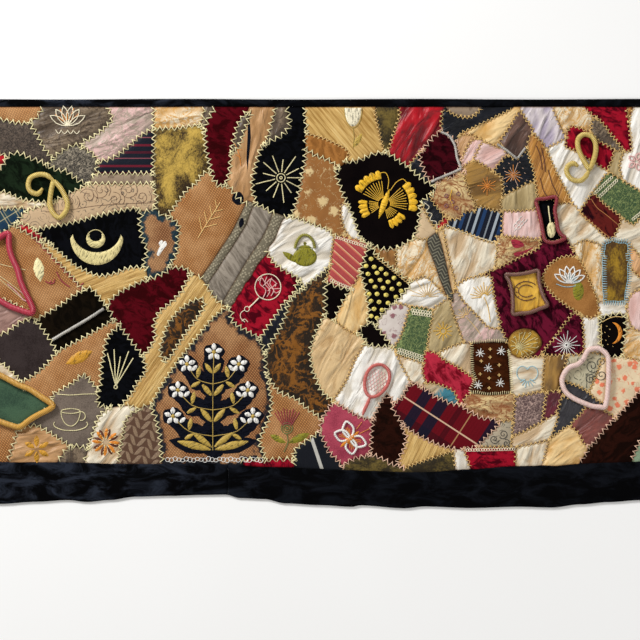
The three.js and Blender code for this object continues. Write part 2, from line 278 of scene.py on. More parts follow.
# The patches. Dress scraps of silk, satin, velvet, plush and wool, each folded under at its edge and laid
# over its neighbours' edges, in this order. Each row is a cloth, the angle of its grain in degrees, and the
# patch's outline in layout steps. Outlines overlap, so that the later patch covers the earlier one's edge.
PATCHES = [
    ("brown wool brocade", 10,
     "-16,112 24,112 36,124 46,138 58,152 60,166 50,168 40,164 30,160 20,156 6,158 -16,160"),
    ("tan twill", -35, "-16,98 52,98 47,108 41,117 33,122 20,124 8,121 -16,118"),
    ("taupe satin", 15,
     "46,98 108,98 116,120 106,132 92,142 78,150 66,156 54,160 44,148 37,134 30,123 39,117"),
    ("pink print", 20,
     "104,98 156,98 156,126 150,133 142,142 136,148 124,156 110,162 98,162 90,154 80,144 92,138 "
     "104,129 113,120"),
    ("navy ribbon stripe", 0,
     "94,176 97,168 100,161 111,159.5 122,152.5 132,144 140,136 155,128 156,176"),
    ("taupe print", 0, "88,187 95,174 155,173.5 156,187"),
    ("crimson silk", 0, "-16,150 0,153 6,156 4,162 0,170 -16,172"),
    ("cream satin", -8, "-16,186 20,192 50,196 56,202 45,206 31,208 12,212 -16,213"),
    ("teal plaid", 32, "-16,210 25,208 29,214 22,224 12,232 0,236 -16,240"),
    ("charcoal brocade", 25,
     "53,159 59.5,153 71,146 78,144.5 82,148 92,152.5 97.5,159.5 99,165 96,171 92,176 90,184 84,188 "
     "70,182 56,174 46,166"),
    ("bottle green velvet", 40,
     "-16,172 0,169.5 6,162 8,155.5 13,153 20,153 31,158.5 43,162 57,170.5 66,170 72,176 78,180 "
     "88,184.5 80,189.5 70,194 60,202 45,202.5 35,201.5 20,199 10,194 0,191 -16,190"),
    ("tan scroll print", 0,
     "18,226 22,214 33,209 45,206 56,201 70,193.5 80,189 88,184 153,184 157,197 154,211 144,214 "
     "131,214 97,221 61,230 39,232 28,229"),
    ("tan twill", -38,
     "-16,234 0,236 8,230 14,224 26,226 38,236 52,252 64,266 74,278 84,290 74,298 60,306 46,314 "
     "36,320 26,320 -16,302"),
    ("crimson silk", 30, "14,225 20,223 29,226 38,232 46,242 40,242 30,234 20,229"),
    ("straw silk", 20,
     "38,238 60,250 84,266 102,272 130,264 147,264 149,277 136,284 124,291 114,298 110,310 100,303 "
     "94,295 86,291 78,284 66,270 52,256"),
    ("black velvet", 12,
     "35,230 49,227 80,221 97,216 131,208.5 139,210 143,214 139,222 142,230 141,237 146,245 "
     "147.5,256 143,262 146,268 130,267.5 116,273 102,276.5 91,273.5 76,266 64,256 50,244 40,234"),
    ("mauve satin", 35, "-16,292 12,303 32,314 24,326 8,336 -16,342"),
    ("cream print", 10, "154,98 210,98 206,118 202,128 180,131 154,132"),
    ("taupe satin", 70, "204,98 224,98 214,114 209,124 208,134 200,128 204,114"),
    ("gold plush", 60,
     "154,129 180,128 200,125 205,131 206,142 208,152 210,162 213,170 206,174 200,178 196,185 "
     "188,189 183,196 177,203 173,210 168,217 160,219 154,212 157,198 153,186 153,172 154,150"),
    ("tan twill", -40,
     "206,172 213,176 220,184 234,186 242,195 250,202 244,215 234,232 224,248 214,262 206,275 "
     "198,278 188,274 178,269 170,266 176,252 178,238 179,228 174,219 168,216 173,210 178,202 "
     "184,195 189,188 197,184 200,177"),
    ("teal painted twill", -40,
     "139,210 146,212 155,208 162,216 170,219 176,222 180,228 178,238 178,250 174,260 168,270 "
     "160,277 148,279 146,268 143,262 148,256 146,245 141,237 142,230 139,222 142,214"),
    ("maroon velvet", 80,
     "217,98 258,98 252,110 244,116 239,122 236,131 234,140 232,152 230,162 230,170 228,178 225,187 "
     "218,186 212,177 209,162 206,150 205,140 204,132 206,124 210,116 214,110"),
    ("tan satin", 80,
     "254,98 294,98 290,115 292,127 286,136 276,142 266,147 262,158 258,172 254,186 256,200 250,206 "
     "240,200 230,188 228,178 231,168 232,154 235,138 239,124 246,114"),
    ("taupe satin", 75, "245,114 252,111 247,124 242,138 238,150 232,153 234,140 238,126"),
    ("taupe satin", 70,
     "275,98 294,98 290,114 291,124 286,134 275,140 265,144 269,134 272,122 275,112"),
    ("black velvet", 85,
     "285,98 287,110 289,118 290,126 286,132 278,138 268,142 261,147 258,157 255,168 252,181 253,196 "
     "260,207 270,212 282,217 292,217 296,204 300,187 303,172 306,156 307,138 306,118 307,98"),
    ("grey lace", -58,
     "247,200 256,204 250,220 240,238 228,256 218,274 212,284 204,287 200,279 208,268 220,250 "
     "232,232 241,214"),
    ("grey moire", -58,
     "254,204 262,207 274,213 284,219 276,232 262,252 248,272 236,292 228,307 218,304 207,286 "
     "216,272 232,248 246,226"),
    ("grey lace", -58,
     "273,212 287,217 280,232 268,248 258,264 246,282 236,298 229,308 222,303 232,286 246,262 "
     "262,238 269,224"),
    ("straw silk", -50,
     "304,98 378,98 376,112 377,122 379,132 382,142 386,152 376,156 366,160 350,162 345,150 337,146 "
     "324,140 309,136 306,125"),
    ("caramel velvet", 15,
     "305,132 310,134.5 324,138.5 337,144.5 345,148 350,155 346,161 338,168 324,163 306,154"),
    ("caramel brocade", 75,
     "305,149 316,156 331,161 337,168 336,174 341,186 346,200 351,212 355,226 360,240 344,240 "
     "330,234 305,224 291,218 296,205 300,188 303,172 306,158"),
    ("white satin", 65, "341,203 350,206 355,220 362,240 350,238 344,229 341,216"),
    ("white satin", 30,
     "283,219 292,217 305,221 330,231 334,240 332,251 334,261 332,267 324,275 312,283 303,288 "
     "296,282 286,272 276,266 270,256 274,242"),
    ("olive plush", 80,
     "376,98 399,98 400,112 399,118 396,126 394,134 391,142 389,152 384,152 381,141 379,130 376,120 "
     "375,112"),
    ("crimson silk", 60,
     "397,98 442,98 450,112 448,122 443,132 434,139 427,146 422,155 416,162 410,167 402,165 394,158 "
     "388,153 391,142 396,128 400,116"),
    ("navy satin", 20, "408,165 416,158 422,148 428,160 432,176 434,186 424,182 414,173"),
    ("navy satin", 25, "442,112 450,98 524,98 505,115 486,125 466,135 458,142 449,138 441,131"),
    ("taupe print", 0, "440,98 484,98 480,111 474,116 466,118 458,116 450,113 446,108"),
    ("burgundy velvet", 72,
     "441,131 447,134 452,139 456,148 458,158 461,167 458,170 446,174 436,178 430,182 425,173 "
     "421,163 419,155 424,148 430,141 436,135"),
    ("pale gold satin", 30, "521,106 500,115 482,124 458,135 466,140 482,142 500,150 504,140 514,123"),
    ("tan satin", 60, "456,139 462,134.5 472,134.5 482,140 474,144 468,152 464,162 460,156"),
    ("pink satin", 60, "472,140 480,138.5 484,142 478,154 473,162 466,166 461,160 466,150"),
    ("pink satin", 30, "482,141 497,147 509,156 502,165 494,173 484,167 473,160 478,151"),
    ("navy satin", 10,
     "506,155 514,160 518,161 523,152 528,144 530,158 533,170 536,180 524,185 515,190 507,194 "
     "500,200 500,186 500,179 492,172"),
    ("lilac satin", 65,
     "519,98 551,98 558,116 563,128 566,136 556,144 547,148 541,143 533,131 524,117"),
    ("brown satin", 60, "520,110 526,119 534,131 528,147 518,159 498,144 508,129"),
    ("gold brown satin", 20,
     "474,160 484,165 495,173 502,177 503,190 502,200 501,212 490,210 478,206 473,204 469,195 "
     "466,183 464,172 467,163"),
    ("khaki satin", 80,
     "500,200 507,194 520,188 535,181 539,190 539,199 538,210 520,214 503,213 501,206"),
    ("navy satin", 40,
     "420,200 432,194 438,203 449,218 443,223 438,229 433,231 429,222 425,213 421,206"),
    ("crimson silk", -45, "450,219 443,227 437,231 434,229 441,222 446,216"),
    ("cream brocade", -20,
     "437,184 450,180 464,175 467,186 470,196 476,204 462,212 448,219.5 440,211 430,198"),
    ("blue stripe", 72,
     "446,226 462,219 474,211 480,206 492,210 505,212 503,222 502,236 499,246 486,243 474,238 "
     "462,233 452,229"),
    ("pink satin", 85, "503,211 520,211.5 538,209 541,222 546,240 528,241 514,240 502,237 502,222"),
    ("ochre silk", 68,
     "531,132 527,146 530,160 534,172 536,184 538,199 555,199 560,207 573,207 577,204 567,190 "
     "557,172 550,158 542,142"),
    ("cream print", 60,
     "549,98 584,98 592,112 597,120 596,130 588,133 572,126 568,128 565,136 560,126 555,114"),
    ("crimson velvet", 60,
     "580,98 627,98 625,107 629,113 627,119 631,126 629,132 632,146 630,153 622,150 616,141 610,134 "
     "606,128 600,120 594,117 586,110"),
    ("ochre silk", 60, "626,98 638,98 635,113 629,122 627,113"),
    ("taupe satin", 50, "593,117 600,120 608,131 616,141 624,151 614,153 598,146 590,138 591,126"),
    ("white satin", 55,
     "556,144 566,138 570,146 590,158 608,170 610,174 602,184 594,193 586,202 579,212 573,205 "
     "566,190 556,172 547,150"),
    ("crimson velvet", 25,
     "571,125 582,129 590,132 596,140 606,145 615,150 612,160 607,171 600,167 594,163 585,158 "
     "575,151 564,147 567,137"),
    ("white satin", 70,
     "629,121 636,98 656,98 656,204 644,196 634,189 620,182 616,168 620,151 632,152 630,134"),
    ("khaki satin", 75, "614,151 624,151 622,158 619,166 621,175 624,184 609,175 608,171 612,160"),
    ("cream satin", 40,
     "540,205 572,203 580,211 596,226 612,240 606,250 604,262 602,290 600,320 594,322 586,300 "
     "580,262 570,248 560,238 556,222"),
    ("cream print", 80, "572,246 584,240 600,244 605,262 604,300 600,322 592,318 586,300 580,270"),
    ("cream satin", 20,
     "617,229 622,216 634,226 644,216 656,208 656,390 640,390 622,356 624,310 628,280 630,256 "
     "622,242 612,238"),
    ("green brocade", 35,
     "607,172 613,175 625,182 640,191 656,201 656,206 642,215 633,225 620,217 610,209 602,203 "
     "592,193 600,182"),
    ("purple velvet", 40,
     "592,193 598,197 603,203 612,210 622,217 621,222 618,228 616,234 611,240 604,236 596,228 "
     "588,221 579,212 584,204 588,199"),
    ("peach silk", 70, "629,244 638,254 645,262 656,262 656,300 646,284 636,274 630,268"),
    ("cream print", 30, "626,330 640,326 656,322 656,372 640,364 622,358"),
    ("maroon velvet", 60,
     "184,267 190,273 194,278 188,286 184,294 174,304 162,312 158,320 156,328 158,338 152,346 "
     "150,353 143,357 136,347 127,334 118,322 110,316 107,308 110,300 122,291 136,284 156,277 170,270"),
    ("grey wool", 30,
     "32,318 40,322 50,336 59,353 50,366 38,378 28,384 18,381 8,370 -16,354 -16,338 8,332 20,322"),
    ("brown black velvet", 30,
     "88,287 96,292 101,300 109,307 112,316 116,324 98,334 78,344 58,354 48,336 38,323 44,316 62,304 "
     "76,294"),
    ("cream satin", 30, "-16,350 8,368 19,379 24,388 0,380 -16,376"),
    ("tan twill", -35,
     "114,320 120,325 114,338 108,350 107,364 103,378 98,390 88,384 78,384 66,392 54,400 48,402 "
     "40,398 28,389 19,382 30,379 46,366 57,352 78,341 96,331"),
    ("black velvet", 75,
     "118,327 123,331 129,338 135,347 143,355 146,366 145,375 137,382 134,391 128,398 121,406.5 "
     "97,406.5 97,396 100,386 101.5,376 101,367 104,355 105,347 107,339 111,332"),
    ("straw silk", 55,
     "190,274 200,276 207,286 214,297 222,304 228,307 217,318 204,334 190,352 178,366 168,380 "
     "160,394 150,408 138,412 126,407 121,406.5 128,398 134,391 137,382 145,375 146,366 143,356 "
     "149,350 156,337 154,326 158,313 172,302 182,291"),
    ("brown plush", 60,
     "203,298 205,306 197,318 187,331 178,345 171,357 164,362 160,350 164,336 168,324 178,312 190,302"),
    ("green cloth", 10, "-16,371 0,375 20,385.5 40,395.5 53,405.5 40,414 28,421 19,427 0,421 -16,418"),
    ("tan twill", -40, "-16,418 0,421 19,427 22,434 16,446 10,468 -16,468"),
    ("grey flannel", 12,
     "51,396 66,387 80,378 84,373 92,382 98,390 98,406 114,408 106,415 99,421 96,432 88,444 80,450 "
     "70,448 58,442 46,434 32,427 22,427 30,420 40,414 53,405.5"),
    ("tan satin", 10, "18,431 26,426 36,425 48,431 60,439 72,447 66,456 58,468 6,468 12,450"),
    ("taupe satin", 85, "66,450 72,445.5 90,448 88,468 54,468 60,458"),
    ("cream satin", 50,
     "110,407.5 122,406 134,405.5 138,410 132,418 128,426 126,440 122,468 84,468 88,450 92,438 "
     "96,424 100,415"),
    ("leaf brocade", 75,
     "132,413 140,408 152,404 157,414 159,426 162,438 166,468 117,468 121,444 124,432 125,421"),
    ("navy painted twill", -45,
     "228,307 233,312 234,321 242,328 254,335 264,339 269,352 270,372 275,385 274,398 274,408 "
     "270,420 262,440 270,470 163,470 160,438 156,418 151,407 158,393 166,379 180,359 200,334 214,317"),
    ("crimson velvet", 40,
     "268,253 273,263 284,270 300,279 299,291 292,299 287,306 283,313 274,323 268,331 262,340 "
     "252,334 240,327 231,320 232,312 236,302 242,291 250,279 258,267"),
    ("navy satin", -60,
     "297,279 304,285 300,294 292,301 290,310 283,327 276,339 266,354 260,339 271,322 283,305 296,291"),
    ("brown plush", 70,
     "332,263 322,274 311,281.5 302,289 294,296 288,303 286,315 279,330 272,341 265,354 267,374 "
     "272,385 281,396 296,402 306,411 322,423 336,406 338,400 324,389 317,371 314,352 319,335 "
     "328,316 332,290 335,275"),
    ("tan twill", -42,
     "267,374 272,384 280,393 296,398.5 305,407 318,416 324,421 321,434 310,443 298,451 296,460 "
     "284,460 266,461 259,441 268,420 272,405"),
    ("crimson velvet", 0, "243,459 270,459.5 297,458 306,468 306,474 243,474"),
    ("navy and white", -71.5, "294,450 306,441 321,431 331,452 348,474 294,474"),
    ("rose wool", 20,
     "333,402 342,405 352,412 362,415 373,419 374,430 372,442 369,456 360,462 345,466 336,459 "
     "329,452 320,432 322,419"),
    ("tan gold satin", 60,
     "326,313 336,319 345,326 358,332 368,338 368,346 362,354 356,364 351,376 342,392 334,402 "
     "321,391 313,371 310,352 315,335"),
    ("dark brown velvet", 80,
     "387,392 393,402 394,412 402,428 409,438 406,448 398,464 384,459 370,455 371,440 372,421 379,406"),
    ("white satin", 65,
     "365,343 376,344 388,345 396,351 404,366 412,379 408,388 402,398 394,403 387,393 379,406 "
     "371,420 360,417 351,412 333,401 341,390 349,376 354,362 360,352"),
    ("cream satin", 60, "395,351 410,355 419,361 427,384 418,388 411,383 402,366"),
    ("rose stripe", -42,
     "334,235 350,238 368,245 365,262 362,274 356,282 352,291 340,289 326,281 330,268 332,252"),
    ("black wool", 20, "326,281 336,286 352,290 348,300 342,310 337,320 330,320 325,315"),
    ("pale gold satin", 75,
     "361,272 366,280 369,298 371,313 371,324 363,330 357,335 345,329 334,319.5 345,298 353,287"),
    ("black wool", 40,
     "369,245 376,254 386,262 398,271 411,280 410,287 401,297 389,309 379,320 374,327 368,322 "
     "369,310 366,292 363,280 360,271 364,258"),
    ("black wool", 10,
     "369,322 374,324 380,329 387,338 393,346 380,347 366,345 364,338 356,333 362,327"),
    ("black wool", 5,
     "335,171 345,164 360,160 372,154 385,152 394,157 402,163 411,169 420,178 430,184 437,188 "
     "430,196 422,201 420,212 418,226 418,233 408,243 397,249 384,250.5 371,245 358,234 353,216 "
     "345,200 339,184"),
    ("brown gold satin", 85, "370,245 384,250 398,248 398,262 399,272 384,262"),
    ("cream print", 60,
     "396,249 408,242 418,236 427,238 431,250 436,262 441,275 448,290 452,300 440,292 424,279 "
     "412,282 404,277 397,271"),
    ("sprig print", 60, "421,204 426,213 430,222 437,230 431,238 422,240 414,238 418,226 420,212"),
    ("white satin", 20,
     "410,281 418,279 425,276 432,281 440,290 450,300 443,306 434,311 424,308 411,308 402,305 "
     "394,305 403,294 409,287"),
    ("plum print", 40,
     "394,302 402,304 411,307 408,318 405,328 399,340 392,347 386,338 377,327 378,319 386,311"),
    ("green brocade", 70,
     "410,306 422,307.5 433,310 432,325 429,345 424,364 414,360 404,357 395,354 399,341 404,327"),
    ("khaki satin", 60,
     "433,308 442,303 449,297 454,308 459,324 465,342 454,348 440,354 427,350 429,335 432,320"),
    ("cream satin", 65, "440,352 452,346.5 464,342 474,342 474,380 462,371 450,363 438,356"),
    ("pink print", 50,
     "451,290 462,298 474,311 487,325 498,327 509,343 490,343 472,343.5 464,343 457,324 451,306"),
    ("white satin", 70,
     "456,284 466,278 478,276 491,275 494,286 497,301 502,325 498,329 488,327.5 475,313.5 462,300"),
    ("wine velvet", 30,
     "480,275 497,266 512,259 531,250 539,241 543,234 565,236 572,248 577,257 566,262 556,272 "
     "552,284 560,295 572,305 580,313 566,332 552,346 545,354 528,362 508,346 502,330 497,312 "
     "493,292 491,276"),
    ("cream satin", 70,
     "440,229 452,228 462,231.5 474,236.5 486,241.5 497,243 500,252 500,266 492,270 482,275 467,279 "
     "457,285 453,293 450,276 446,258 442,240"),
    ("chevron ribbon", 72,
     "427,239 438,231 443,240 447,262 452,284 454,304 447,297 440,280 434,262 428,248"),
    ("tan gold satin", 75,
     "437,231.5 443.5,229 446,245 450,262 455,280 456,294 452,292 446,262 441,242"),
    ("cream brocade", 10,
     "496,235 512,237 528,238.5 541,239.5 540,247 532,251.5 516,259 500,267 495,269 497,252"),
    ("wine velvet", 40, "573,312 582,316 584,335 585,357 565,354 540,355 556,336"),
    ("tan suede", 50,
     "575,256 581,261 586,272 592,286 598,300 599,313 592,319 582,316 570,308 556,298 545,286 "
     "541,278 549,265 561,257"),
    ("white satin", 80, "582,316 592,319 600,313 601,330 602,349 594,349 588,352 584,356 584,335"),
    ("amber plush", 88,
     "604,247 604,243 608,242.4 616,242.4 626,242 628.6,243 628.6,250 628,265 627,280 625,295 "
     "623,303 604,303 603,285 603,262"),
    ("white satin", 10, "598,302 626,302 628,316 600,319"),
    ("black wool", 70, "599,318 612,314 625,314 626,330 623,346 614,358 606,353 600,347"),
    ("fan print", 60, "566,358 585,353 606,354 600,372 590,392 578,386 562,381"),
    ("orange print", 70, "602,357 609,362 609,404 596,402 589,392 597,374"),
    ("dark grey satin", 30, "562,380 578,386 596,399 606,406 590,408 572,402 560,394"),
    ("orange print", 40, "608,357 622,357 641,360 650,380 640,392 630,404 618,416 606,412 606,396"),
    ("chestnut velvet", 88,
     "470.5,343 490,342 509.5,342 511,368 512.5,394.5 494,395 471,393 477,380 471,372"),
    ("bright crimson velvet", 32,
     "425,350 432,352 445,360 458,367 475,379 471,389 463,405 456,400 452,393 440,388 426,384 422,372"),
    ("teal silk", 25, "421,383 432,382.5 444,386.5 454,391 459,404 450,402 440,398 428,390"),
    ("cream satin", 5, "508,347 510,354 516,358 526,358 545,356 544,374 543,391 526,394 511,395"),
    ("gold brown satin", 80, "545,356 556,356 568,355 564,370 559,391 542,393 543,374"),
    ("mauve brocade", 15, "513,397 530,394 547,392 546,407 543,422 527,430 511,437"),
    ("plum satin", 70, "546,393 558,390 564,396 560,408 556,416 542,423 544,407"),
    ("dark grey satin", 60, "562,395 572,399 586,405 578,416 570,427 560,436 547,444 553,424 558,409"),
    ("cream brocade", 0, "463,397 490,395 515,393 514,408 513,423 494,421 482,419 468,410"),
    ("grey scroll print", 0, "494,424 504,421 513,420 512,434 512,449 494,449 476,448 484,438"),
    ("cream satin", 28, "511,442 527,430.5 545,420 559,412 555,426 549,442 530,446 511,449"),
    ("tartan", -33,
     "412,382 421,387 435,397 452,404 466,411 482,418 494,419 500,424 492,432 484,440 477,447.5 "
     "454,449 438,445 422,438 404,426 395,412 391,405 402,398 407,388"),
    ("straw silk", 65,
     "403,425 413,432 427,440 440,445.5 454,449 446,458 431,463 412,472 397,463 404,448 407,438"),
    ("olive plush", 5,
     "338,476 343,466 350,460 360,457 372,454 384,460 395,466 404,468.5 414,464 430,458.5 444,454 "
     "457,450 460,476"),
    ("crimson velvet", 88, "463,450 474,447 490,447 517,446.5 516,456 516,474 470,474 467,460"),
    ("white satin", 80, "453,450 463.5,449.5 467.5,460 472,474 456,474"),
    ("cream satin", 80, "516,447 530,444.5 550,440 549,450 547,458 542,472 515,472"),
    ("pale gold satin", 35,
     "549,440 558,433 569,425 576,435 583,444 592,453 584,468 562,468 540,470 546,453"),
    ("rust silk", 40, "571,422 582,413 592,406 604,410 616,418 604,432 588,446 578,432"),
    ("dark brown velvet", -50,
     "656,376 642,388 630,402 618,415 604,430 590,447 578,464 640,470 656,470"),
    ("mint satin", 60, "630,466 634,454 641,438 656,426 656,470"),
    ("gold disc", 20,
     "509,337 513,332 519,329 526,328 533,330 538,334 542,340 542,346 537,352 530,357 522,358 "
     "514,355 509,349 507,343"),
    ("black velvet", 80,
     "536,200.2 545,198.8 555.5,197.6 555.8,203 554.6,210 556,220 557.8,229 560.5,234.5 564.5,238 "
     "559,241.3 551.5,242.6 545,240.5 542.3,232 539.8,219 537.2,209"),
    ("yellow silk", 85,
     "505.8,275 522,274 537.3,270.8 538.2,279 540.3,288 543.5,297 547.2,305 540,308.8 530,312.3 "
     "513,314.3 512.6,305 512,294 509.6,283"),
    ("pink satin", 85,
     "640,290 648,294 652,304 652,318 648,328 640,332 633,329 628,320 626,310 628,299 633,292"),
]

# Each cloth's make, its colour, and a second colour for its figure, stripe, stain or pile. On satins and
# pleated silks the second colour is also the painted shade in their folds and pleats.
CLOTHS = {
    "tan twill": ("twill", "#C68C4E", "#84522B"),
    "navy painted twill": ("painted twill", "#B8814E", "#12141E"),
    "teal painted twill": ("painted twill", "#A9784E", "#16303A"),
    "brown wool brocade": ("brocade", "#5E5044", "#1E1714"),
    "charcoal brocade": ("brocade", "#35302A", "#A09480"),
    "mauve brocade": ("brocade", "#5C4544", "#C0A296"), "green brocade": ("brocade", "#35502F", "#8E9C5E"),
    "taupe satin": ("stained satin", "#85735E", "#4A3D32"), "cream satin": ("satin", "#EADFC8", "#B99464"),
    "white satin": ("satin", "#F6F2EA", "#CDC0AA"), "mauve satin": ("satin", "#B08C80", "#8C6A60"),
    "tan satin": ("satin", "#C69A6C", "#A37748"), "navy satin": ("satin", "#10141F", "#07090F"),
    "pale gold satin": ("satin", "#ECCB92", "#CE9A4E"), "pink satin": ("satin", "#E8C8C2", "#D6A79C"),
    "lilac satin": ("satin", "#D8CDCE", "#9C8EA6"), "brown satin": ("satin", "#6C5044", "#35241E"),
    "gold brown satin": ("satin", "#A67E40", "#5A3F20"), "khaki satin": ("satin", "#BEA97C", "#9A8458"),
    "tan gold satin": ("satin", "#DDBD8C", "#B68C56"), "brown gold satin": ("satin", "#A4733C", "#7A5228"),
    "crimson silk": ("satin", "#B81020", "#4A0209"), "plum satin": ("satin", "#6B2634", "#4A1A22"),
    "teal silk": ("satin", "#3E7F90", "#C9A878"), "mint satin": ("satin", "#93A88C", "#748A6E"),
    "peach silk": ("satin", "#DFAE7E", "#C98E50"), "dark grey satin": ("satin", "#38363A", "#201E22"),
    "yellow silk": ("satin", "#E9B848", "#C8922C"), "rust silk": ("satin", "#8E5148", "#6E3A34"),
    "straw silk": ("pleated silk", "#D8B26C", "#A47A38"),
    "ochre silk": ("pleated silk", "#C78C3E", "#8A5820"), "black velvet": ("velvet", "#050506", "#0C0D12"),
    "bottle green velvet": ("velvet", "#0C130B", "#1C2A1A"),
    "maroon velvet": ("velvet", "#5C0A16", "#360509"), "burgundy velvet": ("velvet", "#470B16", "#1E0408"),
    "crimson velvet": ("velvet", "#B0182E", "#4E0715"),
    "bright crimson velvet": ("velvet", "#C83248", "#780E1E"),
    "caramel velvet": ("velvet", "#B87C40", "#93602F"), "purple velvet": ("velvet", "#6A2420", "#260A12"),
    "brown black velvet": ("velvet", "#181109", "#0C0804"), "wine velvet": ("velvet", "#721832", "#28050F"),
    "dark brown velvet": ("velvet", "#2C120B", "#180A06"),
    "chestnut velvet": ("velvet", "#4A230E", "#301507"), "gold plush": ("plush", "#C6A44A", "#2E1D04"),
    "olive plush": ("plush", "#75622A", "#241B06"), "brown plush": ("veined plush", "#83500F", "#1E1000"),
    "amber plush": ("plush", "#A5801E", "#4A300A"), "grey wool": ("wool", "#3A3130", "#2A2221"),
    "green cloth": ("wool", "#46604A", "#33483A"), "grey flannel": ("wool", "#7A6D62", "#5F544B"),
    "rose wool": ("wool", "#B04A5C", "#8C3546"), "black wool": ("wool", "#0C0606", "#050203"),
    "tan suede": ("wool", "#AC7842", "#8C5D30"), "gold disc": ("plush", "#CCA03A", "#6A4508"),
    "tan scroll print": ("scroll print", "#BFA27E", "#5C5248"),
    "grey scroll print": ("scroll print", "#A29A86", "#3A3830"),
    "caramel brocade": ("large sprig", "#A06A32", "#E0C690"),
    "pink print": ("stained satin", "#DDB6B0", "#A39684"),
    "taupe print": ("sprig print", "#9E8A74", "#6E5B4A"),
    "cream print": ("stained satin", "#EBDDC0", "#CF9B50"),
    "cream brocade": ("stained satin", "#E2C78F", "#8A4A24"),
    "sprig print": ("sprig print", "#DFC49C", "#9C6C40"),
    "plum print": ("sprig print", "#E4DAD2", "#7E3444"),
    "orange print": ("sprig print", "#F6E0BA", "#E8663C"),
    "fan print": ("scroll print", "#B9B69A", "#30352C"),
    "leaf brocade": ("leaf brocade", "#573C2B", "#B39678"),
    "navy ribbon stripe": ("navy ribbon stripe", "#171B26", "#5E1828"),
    "blue stripe": ("blue stripe", "#141B2A", "#B9C0C4"),
    "navy and white": ("navy and white", "#171A22", "#C9C6BC"),
    "rose stripe": ("rose stripe", "#B8504E", "#DFA878"),
    "teal plaid": ("teal plaid", "#2F4A55", "#B9AA86"), "tartan": ("tartan", "#6E0A18", "#12172A"),
    "chevron ribbon": ("chevron ribbon", "#3E3B32", "#8E8A74"), "grey lace": ("lace", "#A0967E", "#6E6654"),
    "grey moire": ("moire", "#9B9082", "#6C6256"),
}
# How far each make of cloth creases, in mm, and how wide and long its creases are.
CREASES = {
    "twill": (0.25, 14, 30), "painted twill": (0.3, 14, 30), "satin": (0.75, 9, 34),
    "stained satin": (0.9, 8, 22), "pleated silk": (0.6, 6, 60), "velvet": (0.3, 18, 30),
    "plush": (0.5, 12, 16), "veined plush": (0.5, 12, 16), "large sprig": (0.45, 10, 26),
    "moire": (0.4, 12, 40), "sprig print": (0.45, 10, 26), "scroll print": (0.3, 14, 30),
    "brocade": (0.35, 14, 24), "wool": (0.2, 20, 30),
}
PLAIN_CREASE = (0.3, 12, 30)


def read_pairs(text):
    """The places in a text of pairs, in layout steps."""
    return [tuple(float(n) for n in pair.split(",")) for pair in text.split()]


patch_outlines = [[at(u, v) for u, v in read_pairs(text)] for _, _, text in PATCHES]
patch_boxes = []
for outline in patch_outlines:
    xs, ys = [x for x, _ in outline], [y for _, y in outline]
    patch_boxes.append((min(xs), max(xs), min(ys), max(ys)))


def inside(x, y, outline):
    within = False
    for (x0, y0), (x1, y1) in zip(outline, outline[1:] + outline[:1]):
        if (y0 > y) != (y1 > y) and x < x0 + (y - y0) * (x1 - x0) / (y1 - y0):
            within = not within
    return within


def top_patch(x, y):
    """The last patch laid over this place, or None."""
    for index in range(len(PATCHES) - 1, -1, -1):
        x0, x1, y0, y1 = patch_boxes[index]
        if x0 < x < x1 and y0 < y < y1 and inside(x, y, patch_outlines[index]):
            return index
    return None


PANEL_COLUMNS = 70
UNDER_BORDER = 1.2
panel_columns = [mix(-PANEL_SIDE, PANEL_SIDE, k / (PANEL_COLUMNS - 1)) for k in range(PANEL_COLUMNS)]
panel_outline = [(x, along_edge(BORDER_SEAM, x) - UNDER_BORDER) for x in panel_columns]
panel_outline += [(PANEL_SIDE, PANEL_TOP), (-PANEL_SIDE, PANEL_TOP)]


def triangulate(outlines, open_lines=(), loose=(), merge=0.25):
    """Triangles over closed outlines, open lines and loose points, and the triangles on each side."""
    points, edges = [], []
    for line, closed in [(o, True) for o in outlines] + [(o, False) for o in open_lines]:
        start, count = len(points), len(line)
        points += [Vector(p) for p in line]
        edges += [(start + k, start + (k + 1) % count) for k in range(count if closed else count - 1)]
    points += [Vector(p) for p in loose]
    places, links, triangles, _, from_edges, _ = geometry.delaunay_2d_cdt(points, edges, [], 0, merge)
    drawn = {tuple(sorted(link)) for link, source in zip(links, from_edges) if source}
    sides = {}
    for index, corners in enumerate(triangles):
        for a, b in zip(corners, corners[1:] + corners[:1]):
            sides.setdefault((min(a, b), max(a, b)), []).append(index)
    return [tuple(p) for p in places], [list(t) for t in triangles], sides, drawn


def middle(corners, places):
    return sum(places[c][0] for c in corners) / 3, sum(places[c][1] for c in corners) / 3


def area_of(corners, places):
    (ax, ay), (bx, by), (cx, cy) = (places[c] for c in corners)
    return abs((bx - ax) * (cy - ay) - (cx - ax) * (by - ay)) / 2


# First the outlines are laid over each other, which leaves each patch the part of it that shows.
places, triangles, sides, _ = triangulate([panel_outline] + patch_outlines)
OUTSIDE = -1
owner = []
for corners in triangles:
    x, y = middle(corners, places)
    owner.append(top_patch(x, y) if inside(x, y, panel_outline) else OUTSIDE)


def side_length(side):
    return math.dist(places[side[0]], places[side[1]])


def take_in(wanting):
    """Gives each wanting triangle to the neighbour with the longest shared side, until none is left."""
    while wanting:
        best = {}
        for side, both in sides.items():
            if len(both) == 2:
                for this, other in (both, both[::-1]):
                    if this in wanting and other not in wanting and owner[other] != OUTSIDE:
                        if side_length(side) > best.get(this, (0, None))[0]:
                            best[this] = (side_length(side), owner[other])
        if not best:
            return
        for this, (_, patch) in best.items():
            owner[this] = patch
        wanting -= set(best)


